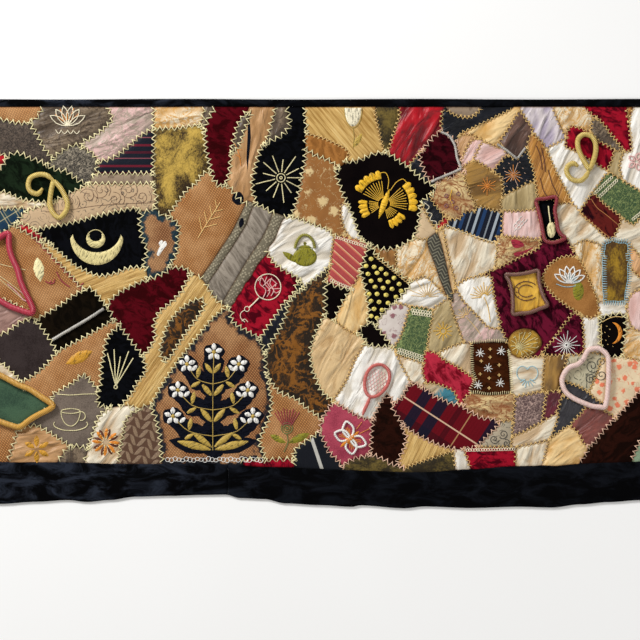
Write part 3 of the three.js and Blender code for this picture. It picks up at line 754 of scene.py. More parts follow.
def joined_areas(labels, blocked=()):
    """Groups of neighbouring triangles with the same label, not across the blocked sides."""
    near = [[] for _ in labels]
    for side, both in sides.items():
        if len(both) == 2 and side not in blocked and labels[both[0]] == labels[both[1]]:
            near[both[0]].append(both[1])
            near[both[1]].append(both[0])
    seen, groups = set(), []
    for start in range(len(labels)):
        if start not in seen:
            seen.add(start)
            group, queue = [], [start]
            while queue:
                this = queue.pop()
                group.append(this)
                for other in near[this]:
                    if other not in seen:
                        seen.add(other)
                        queue.append(other)
            groups.append(group)
    return groups


SMALLEST_SCRAP = 45
take_in({index for index, patch in enumerate(owner) if patch is None})
scraps = set()
for group in joined_areas(owner):
    if owner[group[0]] != OUTSIDE and sum(area_of(triangles[t], places) for t in group) < SMALLEST_SCRAP:
        scraps |= set(group)
take_in(scraps)


# Then the edges between two patches are followed from corner to corner, and eased into seams.
def seam_lines():
    """Each run of sides between the same two patches, as places in order, and the two patches."""
    at_corner = {}
    for side, both in sides.items():
        pair = tuple(sorted(owner[t] for t in both)) if len(both) == 2 else (OUTSIDE, OUTSIDE)
        if pair[0] != pair[1]:
            at_corner.setdefault(side[0], {})[side[1]] = pair
            at_corner.setdefault(side[1], {})[side[0]] = pair
    used, lines = set(), []

    def follow(start, step):
        line, pair = [start, step], at_corner[start][step]
        used.add(frozenset((start, step)))
        while len(at_corner[line[-1]]) == 2 and line[-1] != start:
            onward = [n for n in at_corner[line[-1]] if n != line[-2]]
            if not onward or at_corner[line[-1]][onward[0]] != pair:
                break
            side = frozenset((line[-1], onward[0]))
            if side in used:
                break
            used.add(side)
            line.append(onward[0])
        lines.append((line, pair))

    for corners_only in (True, False):
        for corner, onward in at_corner.items():
            if (len(onward) != 2) == corners_only:
                for step in onward:
                    if frozenset((corner, step)) not in used:
                        follow(corner, step)
    return lines


def resampled(line, spacing):
    """The same line with points at even spacing, its ends kept."""
    lengths = [math.dist(a, b) for a, b in zip(line, line[1:])]
    count = max(1, round(sum(lengths) / spacing))
    points, part, walked = [line[0]], 0, 0.0
    for k in range(1, count):
        target = sum(lengths) * k / count
        while part < len(lengths) - 1 and walked + lengths[part] < target:
            walked += lengths[part]
            part += 1
        t = (target - walked) / max(lengths[part], 1e-9)
        points.append(tuple(mix(a, b, t) for a, b in zip(line[part], line[part + 1])))
    return points + [line[-1]]


def eased(line, closed, passes=3):
    """The line with its corners softened, its ends kept unless it is closed."""
    for _ in range(passes):
        last = len(line) - 1
        moved = list(line)
        for k in range(len(line)):
            if 0 < k < last or closed:
                before = line[k - 1] if k > 0 else line[-2]
                after = line[k + 1] if k < last else line[1]
                moved[k] = tuple(0.25 * b + 0.5 * c + 0.25 * a for b, c, a in zip(before, line[k], after))
        line = moved
    return line


SEAM_SPACING = 2.4
seams = []
for line, pair in seam_lines():
    closed = line[0] == line[-1]
    points = resampled([places[corner] for corner in line], SEAM_SPACING)
    if OUTSIDE not in pair:
        points = eased(points, closed)
    seams.append((points, pair))

seam_tree = kdtree.KDTree(sum(len(points) for points, _ in seams))
for index, place in enumerate(p for points, _ in seams for p in points):
    seam_tree.insert((place[0], place[1], 0), index)
seam_tree.balance()


def from_seam(x, y):
    return seam_tree.find((x, y, 0))[2]


# Last, each patch is meshed between its seams, with creases along its grain, and its edge folded down.
CLOTH_SPACING = 2.9
ROW_SHARE = 0.866
LOWEST_ROW, PANEL_HEIGHT = -212, 460
CLEAR_OF_SEAM = 1.7


def loose_points():
    """Places in even triangles over the pieced top, clear of its seams and edges."""
    points = []
    for j in range(int(PANEL_HEIGHT / (CLOTH_SPACING * ROW_SHARE))):
        for i in range(int(2 * PANEL_SIDE / CLOTH_SPACING)):
            x = -PANEL_SIDE + (i + 0.5 * (j % 2) + 0.25) * CLOTH_SPACING
            y = LOWEST_ROW + j * CLOTH_SPACING * ROW_SHARE
            if along_edge(BORDER_SEAM, x) < y < PANEL_TOP - 1 and from_seam(x, y) > CLEAR_OF_SEAM:
                points.append((x, y))
    return points


places, triangles, sides, drawn = triangulate([], [points for points, _ in seams], loose_points(), 0.05)


def patch_of(group):
    """The patch that most of a group of triangles lies in."""
    votes = {}
    for t in sorted(group, key=lambda t: -area_of(triangles[t], places))[:7]:
        patch = top_patch(*middle(triangles[t], places))
        if patch is not None:
            votes[patch] = votes.get(patch, 0) + area_of(triangles[t], places)
    return max(votes, key=votes.get) if votes else None


def on_grain(x, y, patch):
    """A place as mm along and across the patch's grain, with the patch's number as a third value."""
    turn = math.radians(PATCHES[patch][1])
    return x * math.cos(turn) + y * math.sin(turn), -x * math.sin(turn) + y * math.cos(turn), patch * 17.3


def crease(x, y, patch):
    """How far a patch's cloth stands off its even lie, in mm, from creases along its grain."""
    deep, wide, long = CREASES.get(CLOTHS[PATCHES[patch][0]][0], PLAIN_CREASE)
    along, across, _ = on_grain(x, y, patch)
    rough = noise.noise(Vector((along / long, across / wide, patch * 3.7)))
    return deep * (1.4 * rough + 0.5 * noise.noise(Vector((along / 9, across / 6, patch * 1.9))))


def cloth_height(x, y, patch):
    """The height of a patch's cloth in mm: plump in its middle, and drawn down into its seams."""
    gap = from_seam(x, y)
    plump = 1.0 * (1 - math.exp(-gap / 5)) - 0.9 * math.exp(-((gap / 1.3) ** 2))
    return top_height(x, y) + plump + crease(x, y, patch) * min(1.0, 0.35 + gap / 9)


makes = {}
for group in joined_areas([0] * len(triangles), drawn):
    patch = patch_of(group)
    if patch is None or not inside(*middle(triangles[group[0]], places), panel_outline):
        continue
    verts, faces, marks = makes.setdefault(CLOTHS[PATCHES[patch][0]][0], ([], [], []))
    number = {}
    for t in group:
        corners = triangles[t]
        for corner in corners:
            if corner not in number:
                x, y = places[corner]
                number[corner] = len(verts)
                verts.append((x, y, cloth_height(x, y, patch)))
                marks.append((on_grain(x, y, patch), from_seam(x, y), PATCHES[patch][0]))
        a, b, c = (number[corner] for corner in corners)
        ax, ay, bx, by, cx, cy = *verts[a][:2], *verts[b][:2], *verts[c][:2]
        faces.append((a, b, c) if (bx - ax) * (cy - ay) > (cx - ax) * (by - ay) else (a, c, b))


def start_cloth(name, roughness, sheen=0.0, sheen_tint="#FFFFFF", specular=0.3):
    """A cloth material, and what every patch carries: its place on the grain in mm, its colour and a second
    colour, the seam.
    """
    material, tree, shader = new_material(name)
    shader.inputs["Roughness"].default_value = roughness
    shader.inputs["Sheen Weight"].default_value = sheen
    shader.inputs["Sheen Tint"].default_value = linear(sheen_tint)
    shader.inputs["Sheen Roughness"].default_value = 0.4
    shader.inputs["Specular IOR Level"].default_value = specular
    weave = add(tree, "ShaderNodeAttribute", {"attribute_name": "weave"})
    parts = {
        "weave": weave.outputs["Vector"],
        "dye": add(tree, "ShaderNodeAttribute", {"attribute_name": "dye"}).outputs["Color"],
        "second": add(tree, "ShaderNodeAttribute", {"attribute_name": "second"}).outputs["Color"],
        "seam": add(tree, "ShaderNodeAttribute", {"attribute_name": "seam"}).outputs["Fac"],
    }
    return material, shader, parts


def cells_over(parts, size, uneven):
    """How far each place is from the nearest of scattered points, per mm of the grain."""
    tree = parts["weave"].id_data
    placed = add(tree, "ShaderNodeMapping", {"Scale": size}, {"Vector": parts["weave"]})
    settings = {"Scale": 1.0, "Randomness": uneven}
    return add(
        tree, "ShaderNodeTexVoronoi", settings, {"Vector": placed.outputs["Vector"]}
    ).outputs["Distance"]


def grain_axes(parts):
    """The place along and across the grain, in mm, as two sockets."""
    split = add(parts["weave"].id_data, "ShaderNodeSeparateXYZ", links={"Vector": parts["weave"]})
    return split.outputs["X"], split.outputs["Y"]


def spread(parts, scale, detail=3.0, rough=0.55, warp=0.0):
    """A noise over the grain, with the scale in each direction per mm."""
    tree = parts["weave"].id_data
    placed = add(tree, "ShaderNodeMapping", {"Scale": scale}, {"Vector": parts["weave"]})
    settings = {"Scale": 1.0, "Detail": detail, "Roughness": rough, "Distortion": warp}
    return add(tree, "ShaderNodeTexNoise", settings, {"Vector": placed.outputs["Vector"]}).outputs["Fac"]


def between(value, low, high, most=1.0):
    """A value from 0 at low to the most at high."""
    settings = {"interpolation_type": "SMOOTHSTEP", "From Min": low, "From Max": high, "To Max": most}
    return add(value.id_data, "ShaderNodeMapRange", settings, {"Value": value}).outputs["Result"]


def node_of(kind, settings, values):
    """A node in the tree of its values' sockets. Values go by input number, as sockets or as settings."""
    tree = next(value.id_data for value in values.values() if isinstance(value, bpy.types.NodeSocket))
    node = add(tree, kind, settings)
    for index, value in values.items():
        if isinstance(value, bpy.types.NodeSocket):
            tree.links.new(value, node.inputs[index])
        else:
            node.inputs[index].default_value = value
    return node


def blend(amount, first, second, kind="MIX"):
    """Two colours mixed by an amount, which is a number or a socket."""
    settings = {"data_type": "RGBA", "blend_type": kind}
    return node_of("ShaderNodeMix", settings, {0: amount, 6: first, 7: second}).outputs[2]


def reckon(operation, first, second=0.0):
    """The sum, product or other result of two values."""
    return node_of("ShaderNodeMath", {"operation": operation}, {0: first, 1: second}).outputs[0]


def ridges(value, middle=0.5):
    """How far a value is from its middle, which is least along winding lines."""
    return reckon("ABSOLUTE", reckon("SUBTRACT", value, middle))


def finish_cloth(shader, parts, colour, height, depth):
    """Darkens the cloth into its seams, as painted shade where it dips down and as dust, and gives it a
    relief of depth mm.
    """
    tree = shader.id_data
    # Painted shade and dust: within about 2.6 mm of a seam the colour is multiplied towards grey brown.
    shade = between(parts["seam"], -0.8, 2.6)
    seam_dust_and_shade = blend(1.0, colour, linear("#9C7F62"), "MULTIPLY")
    tree.links.new(blend(shade, seam_dust_and_shade, colour), shader.inputs["Base Color"])
    emboss(shader, height, depth * MM)


def ribs(parts, pitch, turn=0.0, warp=0.0):
    """Even ribs across the grain at a pitch in mm, turned by degrees. A scale of 0.314 is a band a mm."""
    tree = parts["weave"].id_data
    placed = add(
        tree, "ShaderNodeMapping", {"Rotation": (0, 0, math.radians(turn))}, {"Vector": parts["weave"]}
    )
    settings = {
        "Scale": 0.314 / pitch, "bands_direction": "Y", "Distortion": warp, "Detail": 1.0,
        "Detail Scale": 2.0
    }
    return add(tree, "ShaderNodeTexWave", settings, {"Vector": placed.outputs["Vector"]}).outputs["Fac"]


def tan_twill(name="tan wool twill", painted=False):
    """Coarse wool twill: matt, with slanted ribs of thick yarn about 2.5 mm apart and dark gaps between."""
    material, shader, parts = start_cloth(name, 0.85, 0.15)
    slant = ribs(parts, 2.5, 0, 0.6)
    cross = ribs(parts, 2.9, 78, 0.8)
    yarn = reckon("MULTIPLY", slant, reckon("ADD", reckon("MULTIPLY", cross, 0.75), 0.25))
    worn = spread(parts, (0.03, 0.03, 1), 4)
    fine = spread(parts, (0.5, 0.5, 1), 3)
    gaps = linear("#6E4122") if painted else parts["second"]
    colour = blend(between(yarn, 0.05, 0.7), gaps, parts["dye"])
    colour = blend(between(worn, 0.35, 0.75, 0.4), colour, linear("#DDAE7A"))
    colour = blend(between(fine, 0.55, 0.8, 0.3), colour, linear("#6E4426"))
    if painted:
        near = reckon("ADD", parts["seam"], reckon("MULTIPLY", spread(parts, (0.1, 0.1, 1)), 28.0))
        colour = blend(between(near, 23.0, 17.0), colour, parts["second"])
    finish_cloth(shader, parts, colour, yarn, 0.6)
    return material


def dress_satin(stained=False):
    """Silk satin from dresses: smooth, half glossy and softly creased, with painted shade of the second
    colour down in its folds, and aged yellow in patches or stained veins.
    """
    name = "stained silk satin" if stained else "dress satin"
    material, shader, parts = start_cloth(name, 0.4, 0.0, specular=0.24)
    folds = spread(parts, (0.022, 0.07, 1), 2.5, 0.45, 0.5)
    fine = spread(parts, (0.12, 1.4, 1), 2)
    age = spread(parts, (0.05, 0.07, 1), 5, 0.6, 1.2)
    # Painted shade: the cloth takes the second colour where its creases run low, from the same noise that
    # gives its relief.
    colour = blend(between(folds, 0.6, 0.36, 0.8), parts["dye"], parts["second"])
    if stained:
        vein = ridges(age)
        colour = blend(between(vein, 0.055, 0.0, 0.95), colour, parts["second"])
        vein = ridges(spread(parts, (0.16, 0.13, 1), 4, 0.6, 1.5), 0.48)
        colour = blend(between(vein, 0.04, 0.0, 0.6), colour, parts["second"])
    else:
        colour = blend(between(age, 0.52, 0.7, 0.55), colour, parts["second"])
    colour = blend(reckon("MULTIPLY", fine, 0.1), colour, linear("#6B5A48"), "MULTIPLY")
    height = reckon("ADD", reckon("MULTIPLY", folds, 6.0), reckon("MULTIPLY", fine, 0.2))
    finish_cloth(shader, parts, colour, height, 1.5)
    return material


def pleated_silk():
    """Thin silk gathered into tight pleats about 4 mm apart, with a painted highlight on the ridges and
    painted shade, brown, between them.
    """
    material, shader, parts = start_cloth("pleated silk", 0.5, 0.1)
    pleats = spread(parts, (0.018, 0.3, 1), 3, 0.6, 0.3)
    fine = spread(parts, (0.05, 0.9, 1), 2)
    both = reckon("ADD", reckon("MULTIPLY", pleats, 0.7), reckon("MULTIPLY", fine, 0.3))
    # Painted shade and highlight: the pleats' own height turns the colour brown in the hollows and pale on
    # the ridges.
    colour = blend(between(both, 0.36, 0.6), parts["second"], parts["dye"])
    colour = blend(between(both, 0.55, 0.75, 0.5), colour, linear("#F0DBA4"))
    finish_cloth(shader, parts, colour, both, 2.2)
    return material


def cotton_velvet():
    """Cotton velvet: a dense short pile, dark face on, with paler clouds where the nap leans over."""
    material, shader, parts = start_cloth("cotton velvet", 0.95, 0.03, "#B8BCCB", 0.03)
    nap = spread(parts, (0.09, 0.05, 1), 5, 0.66, 1.0)
    pile = spread(parts, (0.9, 0.9, 1), 2)
    colour = blend(between(nap, 0.42, 0.6), parts["dye"], parts["second"])
    colour = blend(reckon("MULTIPLY", pile, 0.35), colour, linear("#000000"))
    finish_cloth(shader, parts, colour, pile, 0.25)
    return material


def crushed_plush(name="crushed silk plush", veined=False):
    """Long silk plush, crushed in places: bright where the pile lies down, dark where it stands up."""
    material, shader, parts = start_cloth(name, 0.75, 0.12, "#E8C890")
    crush = spread(parts, (0.03, 0.04, 1), 6, 0.68, 0.4)
    pile = spread(parts, (0.45, 0.7, 1), 3)
    if veined:
        ridge = ridges(spread(parts, (0.065, 0.065, 1), 4, 0.6, 0.6))
        crush = reckon("ADD", reckon("MULTIPLY", crush, 0.6), between(ridge, 0.1, 0.0, 0.27))
    both = reckon("ADD", reckon("MULTIPLY", crush, 0.7), reckon("MULTIPLY", pile, 0.26))
    # Painted shade: the pile darkens towards its seams and is lighter in the middle of the patch, over
    # about 26 mm.
    both = reckon("ADD", both, between(parts["seam"], 0.0, 26.0, 0.12))
    colour = blend(between(both, 0.42, 0.64), parts["second"], parts["dye"])
    finish_cloth(shader, parts, colour, both, 1.4)
    return material


def milled_wool():
    """Milled wool cloth: matt and slightly felted, in an even dye with darker flecks."""
    material, shader, parts = start_cloth("milled wool", 0.92, 0.02, "#FFFFFF", 0.04)
    cloud = spread(parts, (0.04, 0.05, 1), 4)
    felt = spread(parts, (0.7, 0.7, 1), 3)
    both = reckon("ADD", reckon("MULTIPLY", cloud, 0.55), reckon("MULTIPLY", felt, 0.45))
    colour = blend(between(both, 0.36, 0.6), parts["second"], parts["dye"])
    finish_cloth(shader, parts, colour, felt, 0.3)
    return material


def scroll_print():
    """Printed cotton with thin curling scrolls in a darker ink, each about 14 mm across."""
    material, shader, parts = start_cloth("scroll print", 0.75, 0.1)
    cells = cells_over(parts, (0.075, 0.075, 0.3), 0.8)
    drift = reckon("MULTIPLY", spread(parts, (0.09, 0.09, 1), 1), 14.0)
    swirl = reckon("ADD", reckon("MULTIPLY", cells, 24.0), drift)
    line = between(reckon("SINE", swirl), 0.6, 0.9)
    broken = between(spread(parts, (0.14, 0.14, 1), 2), 0.42, 0.56)
    inked = reckon("MULTIPLY", reckon("MULTIPLY", line, broken), 0.8)
    ground = blend(
        reckon("MULTIPLY", spread(parts, (0.06, 0.1, 1), 4), 0.5), parts["dye"], linear("#C9AE8C")
    )
    finish_cloth(shader, parts, blend(inked, ground, parts["second"]), inked, 0.15)
    return material


def sprig_print(name="sprig print", sprig=11.0):
    """Silk with small scattered blossoms of five round petals and thin stems, in a second colour."""
    material, shader, parts = start_cloth(name, 0.55, 0.1)
    cells = cells_over(parts, (1 / sprig, 1 / sprig, 0.3), 0.9)
    rough = spread(parts, (0.35, 0.35, 1), 3, 0.6, 0.5)
    petal = between(reckon("ADD", cells, reckon("MULTIPLY", rough, 0.6)), 0.68, 0.54)
    stem = ridges(spread(parts, (0.07, 0.07, 1), 2, 0.5, 1.0))
    figure = reckon("MAXIMUM", petal, between(stem, 0.012, 0.0, 0.7))
    ground = blend(
        reckon("MULTIPLY", spread(parts, (0.05, 0.1, 1), 4), 0.4), parts["dye"], linear("#8A6A50"),
        "MULTIPLY"
    )
    finish_cloth(
        shader, parts, blend(reckon("MULTIPLY", figure, 0.85), ground, parts["second"]), figure, 0.25
    )
    return material


def wool_brocade():
    """Figured wool and silk brocade: a raised tangle of curling yarn, about 5 mm across, on matt wool."""
    material, shader, parts = start_cloth("figured brocade", 0.7, 0.15)
    wide_curls = between(ridges(spread(parts, (0.13, 0.17, 1), 2, 0.5, 1.4)), 0.06, 0.015)
    small_curls = between(ridges(spread(parts, (0.3, 0.24, 1), 2, 0.5, 1.4)), 0.07, 0.01, 0.7)
    figure = reckon("MAXIMUM", wide_curls, small_curls)
    finish_cloth(
        shader, parts, blend(reckon("MULTIPLY", figure, 0.8), parts["dye"], parts["second"]), figure, 0.5
    )
    return material


def leaf_brocade():
    """Brown brocade with pointed leaves in slanting pairs along stems, about 11 mm to a pair."""
    material, shader, parts = start_cloth("leaf brocade", 0.5, 0.1)
    along, across = grain_axes(parts)
    fold = reckon("PINGPONG", across, 11.0)
    sweep = reckon("SUBTRACT", along, reckon("MULTIPLY", fold, 1.1))
    lobe = reckon("PINGPONG", sweep, 5.5)
    waist = reckon("MULTIPLY", reckon("SINE", reckon("MULTIPLY", fold, 0.285)), 4.4)
    blade = between(reckon("SUBTRACT", waist, lobe), -0.3, 0.9)
    vein = reckon("SINE", reckon("MULTIPLY", sweep, 4.0))
    figure = reckon("MULTIPLY", blade, between(vein, -1.4, 0.6))
    finish_cloth(
        shader, parts, blend(reckon("MULTIPLY", figure, 0.9), parts["dye"], parts["second"]), figure, 0.5
    )
    return material


def striped_silk(name, pitch, stops):
    """Ribbon silk with woven stripes: where each starts in one repeat of pitch mm, and its colour."""
    material, shader, parts = start_cloth(name, 0.5, 0.0, specular=0.12)
    repeat = reckon("FRACT", reckon("DIVIDE", grain_axes(parts)[1], pitch))
    ramp = add(material.node_tree, "ShaderNodeValToRGB", links={"Fac": repeat})
    ramp.color_ramp.interpolation = "CONSTANT"
    while len(ramp.color_ramp.elements) < len(stops):
        ramp.color_ramp.elements.new(0.5)
    for element, (start, colour) in zip(ramp.color_ramp.elements, stops):
        element.position = start
        element.color = linear(colour)
    fine = spread(parts, (0.3, 1.2, 1), 2)
    colour = blend(reckon("MULTIPLY", fine, 0.3), ramp.outputs["Color"], linear("#50443C"), "MULTIPLY")
    finish_cloth(shader, parts, colour, fine, 0.4)
    return material


def plaid_wool(name, repeats, bands):
    """Plaid wool: dyed bands, X along the grain and Y across it, from start to end mm in each repeat."""
    material, shader, parts = start_cloth(name, 0.85, 0.05, specular=0.1)
    axes = dict(zip("XY", grain_axes(parts)))
    place = {axis: reckon("FLOORED_MODULO", axes[axis], repeat) for axis, repeat in repeats.items()}
    colour = parts["dye"]
    for axis, start, end, hex_colour, strength in bands:
        begun = between(place[axis], start - 0.2, start + 0.2)
        held = reckon("MULTIPLY", begun, between(place[axis], end + 0.2, end - 0.2, strength))
        colour = blend(held, colour, linear(hex_colour))
    weave = ribs(parts, 1.6, 45)
    colour = blend(reckon("MULTIPLY", weave, 0.3), colour, linear("#40302C"), "MULTIPLY")
    finish_cloth(shader, parts, colour, weave, 0.25)
    return material


def chevron_ribbon():
    """Dark woven ribbon with pale chevrons down its middle, about 5 mm to a repeat."""
    material, shader, parts = start_cloth("chevron ribbon", 0.6, 0.1)
    along, across = grain_axes(parts)
    fold = reckon("PINGPONG", across, 6.0)
    repeat = reckon("SINE", reckon("MULTIPLY", reckon("ADD", along, fold), 1.3))
    figure = between(repeat, 0.1, 0.7)
    finish_cloth(
        shader, parts, blend(reckon("MULTIPLY", figure, 0.7), parts["dye"], parts["second"]), figure, 0.4
    )
    return material


def lace_strip():
    """Greyed cotton lace over silk: pale knots about 3 mm apart with darker holes between."""
    material, shader, parts = start_cloth("greyed cotton lace", 0.85, 0.1)
    knots = between(cells_over(parts, (0.3, 0.3, 0.3), 0.55), 0.55, 0.2)
    finish_cloth(shader, parts, blend(knots, parts["second"], parts["dye"]), knots, 0.5)
    return material


def grey_moire():
    """Watered silk: flat ribs pressed so that paler wavy bands run across them."""
    material, shader, parts = start_cloth("grey watered silk", 0.42, 0.1)
    water = spread(parts, (0.03, 0.14, 1), 5, 0.65, 1.4)
    colour = blend(between(water, 0.35, 0.62), parts["second"], parts["dye"])
    finish_cloth(shader, parts, colour, water, 1.6)
    return material


MAKES = {
    "twill": tan_twill(), "painted twill": tan_twill("painted wool twill", True), "satin": dress_satin(),
    "stained satin": dress_satin(True), "pleated silk": pleated_silk(), "velvet": cotton_velvet(),
    "plush": crushed_plush(), "veined plush": crushed_plush("veined silk plush", True),
    "large sprig": sprig_print("large sprig brocade", 21.0), "wool": milled_wool(),
    "scroll print": scroll_print(), "sprig print": sprig_print(), "brocade": wool_brocade(),
    "leaf brocade": leaf_brocade(), "lace": lace_strip(), "moire": grey_moire(),
    "chevron ribbon": chevron_ribbon(),
    "navy ribbon stripe": striped_silk(
        "navy ribbon stripe", 26,
        [
            (0, "#161B27"), (0.2, "#4E1626"), (0.32, "#161B27"), (0.55, "#6E1A2C"), (0.66, "#161B27"),
            (0.95, "#8A4A54")
        ]
    ),
    "blue stripe": striped_silk(
        "blue stripe", 24,
        [
            (0, "#121828"), (0.22, "#22406A"), (0.4, "#121828"), (0.55, "#AEB8C0"), (0.68, "#121828"),
            (0.92, "#8E98A0")
        ]
    ),
    "navy and white": striped_silk(
        "navy and white stripe", 60, [(0, "#14171F"), (0.91, "#C9C7BE"), (0.98, "#14171F")]
    ),
    "rose stripe": striped_silk(
        "rose ribbon stripe", 9, [(0, "#B9504F"), (0.55, "#D8795E"), (0.72, "#E6BE92"), (0.84, "#B04349")]
    ),
    "teal plaid": plaid_wool(
        "teal plaid", {"X": 16, "Y": 16},
        [
            ("X", 1.6, 7, "#1C3A58", 0.6), ("Y", 1.6, 7, "#1C3A58", 0.6), ("X", 10, 11, "#C9BC92", 0.8),
            ("Y", 10, 11, "#C9BC92", 0.8), ("X", 13.6, 14.2, "#C9BC92", 0.7)
        ]
    ),
    "tartan": plaid_wool(
        "tartan wool", {"X": 300, "Y": 90},
        [
            ("Y", 14, 32, "#2A0A14", 0.6), ("X", 167, 180, "#10182C", 0.92),
            ("X", 189, 203, "#10182C", 0.92), ("X", 259, 278, "#10182C", 0.9),
            ("X", 150, 152, "#3A0A14", 0.8), ("X", 215, 222, "#3A0712", 0.6),
            ("X", 233, 234.4, "#C99A6A", 0.85), ("Y", 48.6, 50.4, "#EBC7A6", 0.95)
        ]
    ),
}

# Each make of cloth is one piece of the model, with every patch cut from it.
for make, (verts, faces, marks) in makes.items():
    piece = mesh_object("patches_" + make.replace(" ", "_"), verts, faces, MAKES[make])
    mesh = piece.data
    mesh.shade_smooth()
    set_weave(piece, [mark[0] for mark in marks])
    seam = mesh.attributes.new("seam", "FLOAT", "POINT")
    seam.data.foreach_set("value", [mark[1] for mark in marks])
    for slot_name, which in (("dye", 1), ("second", 2)):
        colours = {cloth: linear(made[which]) for cloth, made in CLOTHS.items()}
        dye = mesh.attributes.new(slot_name, "FLOAT_COLOR", "POINT")
        dye.data.foreach_set("color", [value for mark in marks for value in colours[mark[2]]])
    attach(piece, "root")


# The seam stitches. Two-ply silk thread worked by hand over every seam, from one side to the other: an open
# zigzag on the left half, gold briar stitch on the right, and close bars round a few patches. A stitch lies
# on the cloth.
cloth_points, cloth_faces = [], []
for verts, faces, _ in makes.values():
    cloth_faces += [tuple(corner + len(cloth_points) for corner in face) for face in faces]
    cloth_points += [Vector(place) for place in verts]
cloth_surface = BVHTree.FromPolygons(cloth_points, cloth_faces)
ABOVE_CLOTH = 40.0
HAND_SEED = 7
noise.seed_set(HAND_SEED)


def drape(piece, wander=0.0):
    """Lays a flat piece on the cloth, each point as far over it as over nought, a little unevenly."""
    for point in piece.data.vertices:
        x, y, z = (value / MM for value in point.co)
        if wander:
            shift = noise.noise_vector(Vector((x / 7, y / 7, 4.0))) * wander
            x, y = x + shift.x, y + shift.y
        hit = cloth_surface.ray_cast(Vector((x, y, ABOVE_CLOTH)), Vector((0, 0, -1)))[0]
        point.co = (x * MM, y * MM, (z + (hit.z if hit else top_height(x, y))) * MM)


def thread_silk(name, hex_colour):
    """Twisted silk floss: a soft gleam, and darker, as painted shade, where the plies turn under, every 1.5
    mm or so.
    """
    material, tree, shader = new_material(name)
    place = add(tree, "ShaderNodeTexCoord")
    plies = add(
        tree, "ShaderNodeTexNoise", {"Scale": 700.0, "Detail": 2.0}, {"Vector": place.outputs["Object"]}
    )
    cloud = add(
        tree, "ShaderNodeTexNoise", {"Scale": 30.0, "Detail": 2.0}, {"Vector": place.outputs["Object"]}
    )
    uneven = reckon("MULTIPLY", cloud.outputs["Fac"], 0.4)
    both = reckon("ADD", reckon("MULTIPLY", plies.outputs["Fac"], 0.6), uneven)
    # Painted shade between the plies: 0.62 of the thread's colour, mixed with uneven patches.
    dark = [c * 0.62 for c in linear(hex_colour)[:3]] + [1.0]
    tree.links.new(blend(between(both, 0.36, 0.56), dark, linear(hex_colour)), shader.inputs["Base Color"])
    shader.inputs["Roughness"].default_value = 0.5
    shader.inputs["Sheen Weight"].default_value = 0.15
    return material


THREAD_COLOURS = {
    "pale": "#F2E6B0", "peach": "#F0C4A6", "gold": "#EDC67C", "blue": "#A6CAD4", "cream": "#F2E7C8",
    "white": "#F4F1EA", "yellow": "#F0BC2C", "olive": "#8A8420", "pink": "#E8B4AE", "crimson": "#A3263A",
    "orange": "#E48C2A", "brown": "#5E2E18", "green": "#66763A", "bronze": "#BFA04A", "silver": "#BEB9B0",
    "ink": "#12141E", "copper": "#BC763A", "lilac": "#8A4E5A", "wheat": "#E2D294", "straw": "#EAD66E",
    "amber": "#CF962E",
}
THREADS = {
    thread: thread_silk(thread + " silk thread", colour) for thread, colour in THREAD_COLOURS.items()
}


def tube(points, radius, sides=5):
    """A closed round tube along points, with its ends drawn in: verts and faces."""
    verts, faces = [], []
    for k, point in enumerate(points):
        here = Vector(point)
        forward = Vector(points[min(k + 1, len(points) - 1)]) - Vector(points[max(k - 1, 0)])
        across = forward.cross(Vector((0, 0, 1))).normalized()
        up = across.cross(forward).normalized()
        for s in range(sides):
            turn = 2 * math.pi * s / sides
            verts.append(tuple(here + radius * (math.cos(turn) * across + math.sin(turn) * up)))
    for k in range(len(points) - 1):
        for s in range(sides):
            a, b = k * sides + s, k * sides + (s + 1) % sides
            faces.append((a, a + sides, b + sides, b))
    faces.append(tuple(range(sides)))
    faces.append(tuple(range(len(verts) - 1, len(verts) - sides - 1, -1)))
    return verts, faces


def one_stitch(strokes, radius):
    """One repeat of a stitch: each stroke sinks into the cloth at both ends and arches between."""
    verts, faces = [], []
    for (x0, y0), (x1, y1) in strokes:
        arch = [(x0, y0, -0.2), (mix(x0, x1, 0.5), mix(y0, y1, 0.5), radius + 0.35), (x1, y1, -0.2)]
        more, sides_of = tube(arch, radius)
        faces += [tuple(c + len(verts) for c in face) for face in sides_of]
        verts += more
    return mesh_object("one_stitch", verts, faces, THREADS["pale"])


def geometry_tree(name, sockets):
    """An empty Geometry Nodes tree with named inputs after its geometry."""
    tree = bpy.data.node_groups.new(name, "GeometryNodeTree")
    tree.interface.new_socket("Geometry", in_out="INPUT", socket_type="NodeSocketGeometry")
    for socket, kind in sockets:
        tree.interface.new_socket(socket, in_out="INPUT", socket_type=kind)
    tree.interface.new_socket("Geometry", in_out="OUTPUT", socket_type="NodeSocketGeometry")
    return tree, add(tree, "NodeGroupInput")


def close_tree(tree, start, geometry_socket):
    """Ends a tree in real geometry with the thread's material."""
    real = add(tree, "GeometryNodeRealizeInstances", links={"Geometry": geometry_socket})
    dyed = add(
        tree, "GeometryNodeSetMaterial",
        links={"Geometry": real.outputs["Geometry"], "Material": start.outputs["Thread"]}
    )
    add(tree, "NodeGroupOutput", links={"Geometry": dyed.outputs["Geometry"]})
    return tree


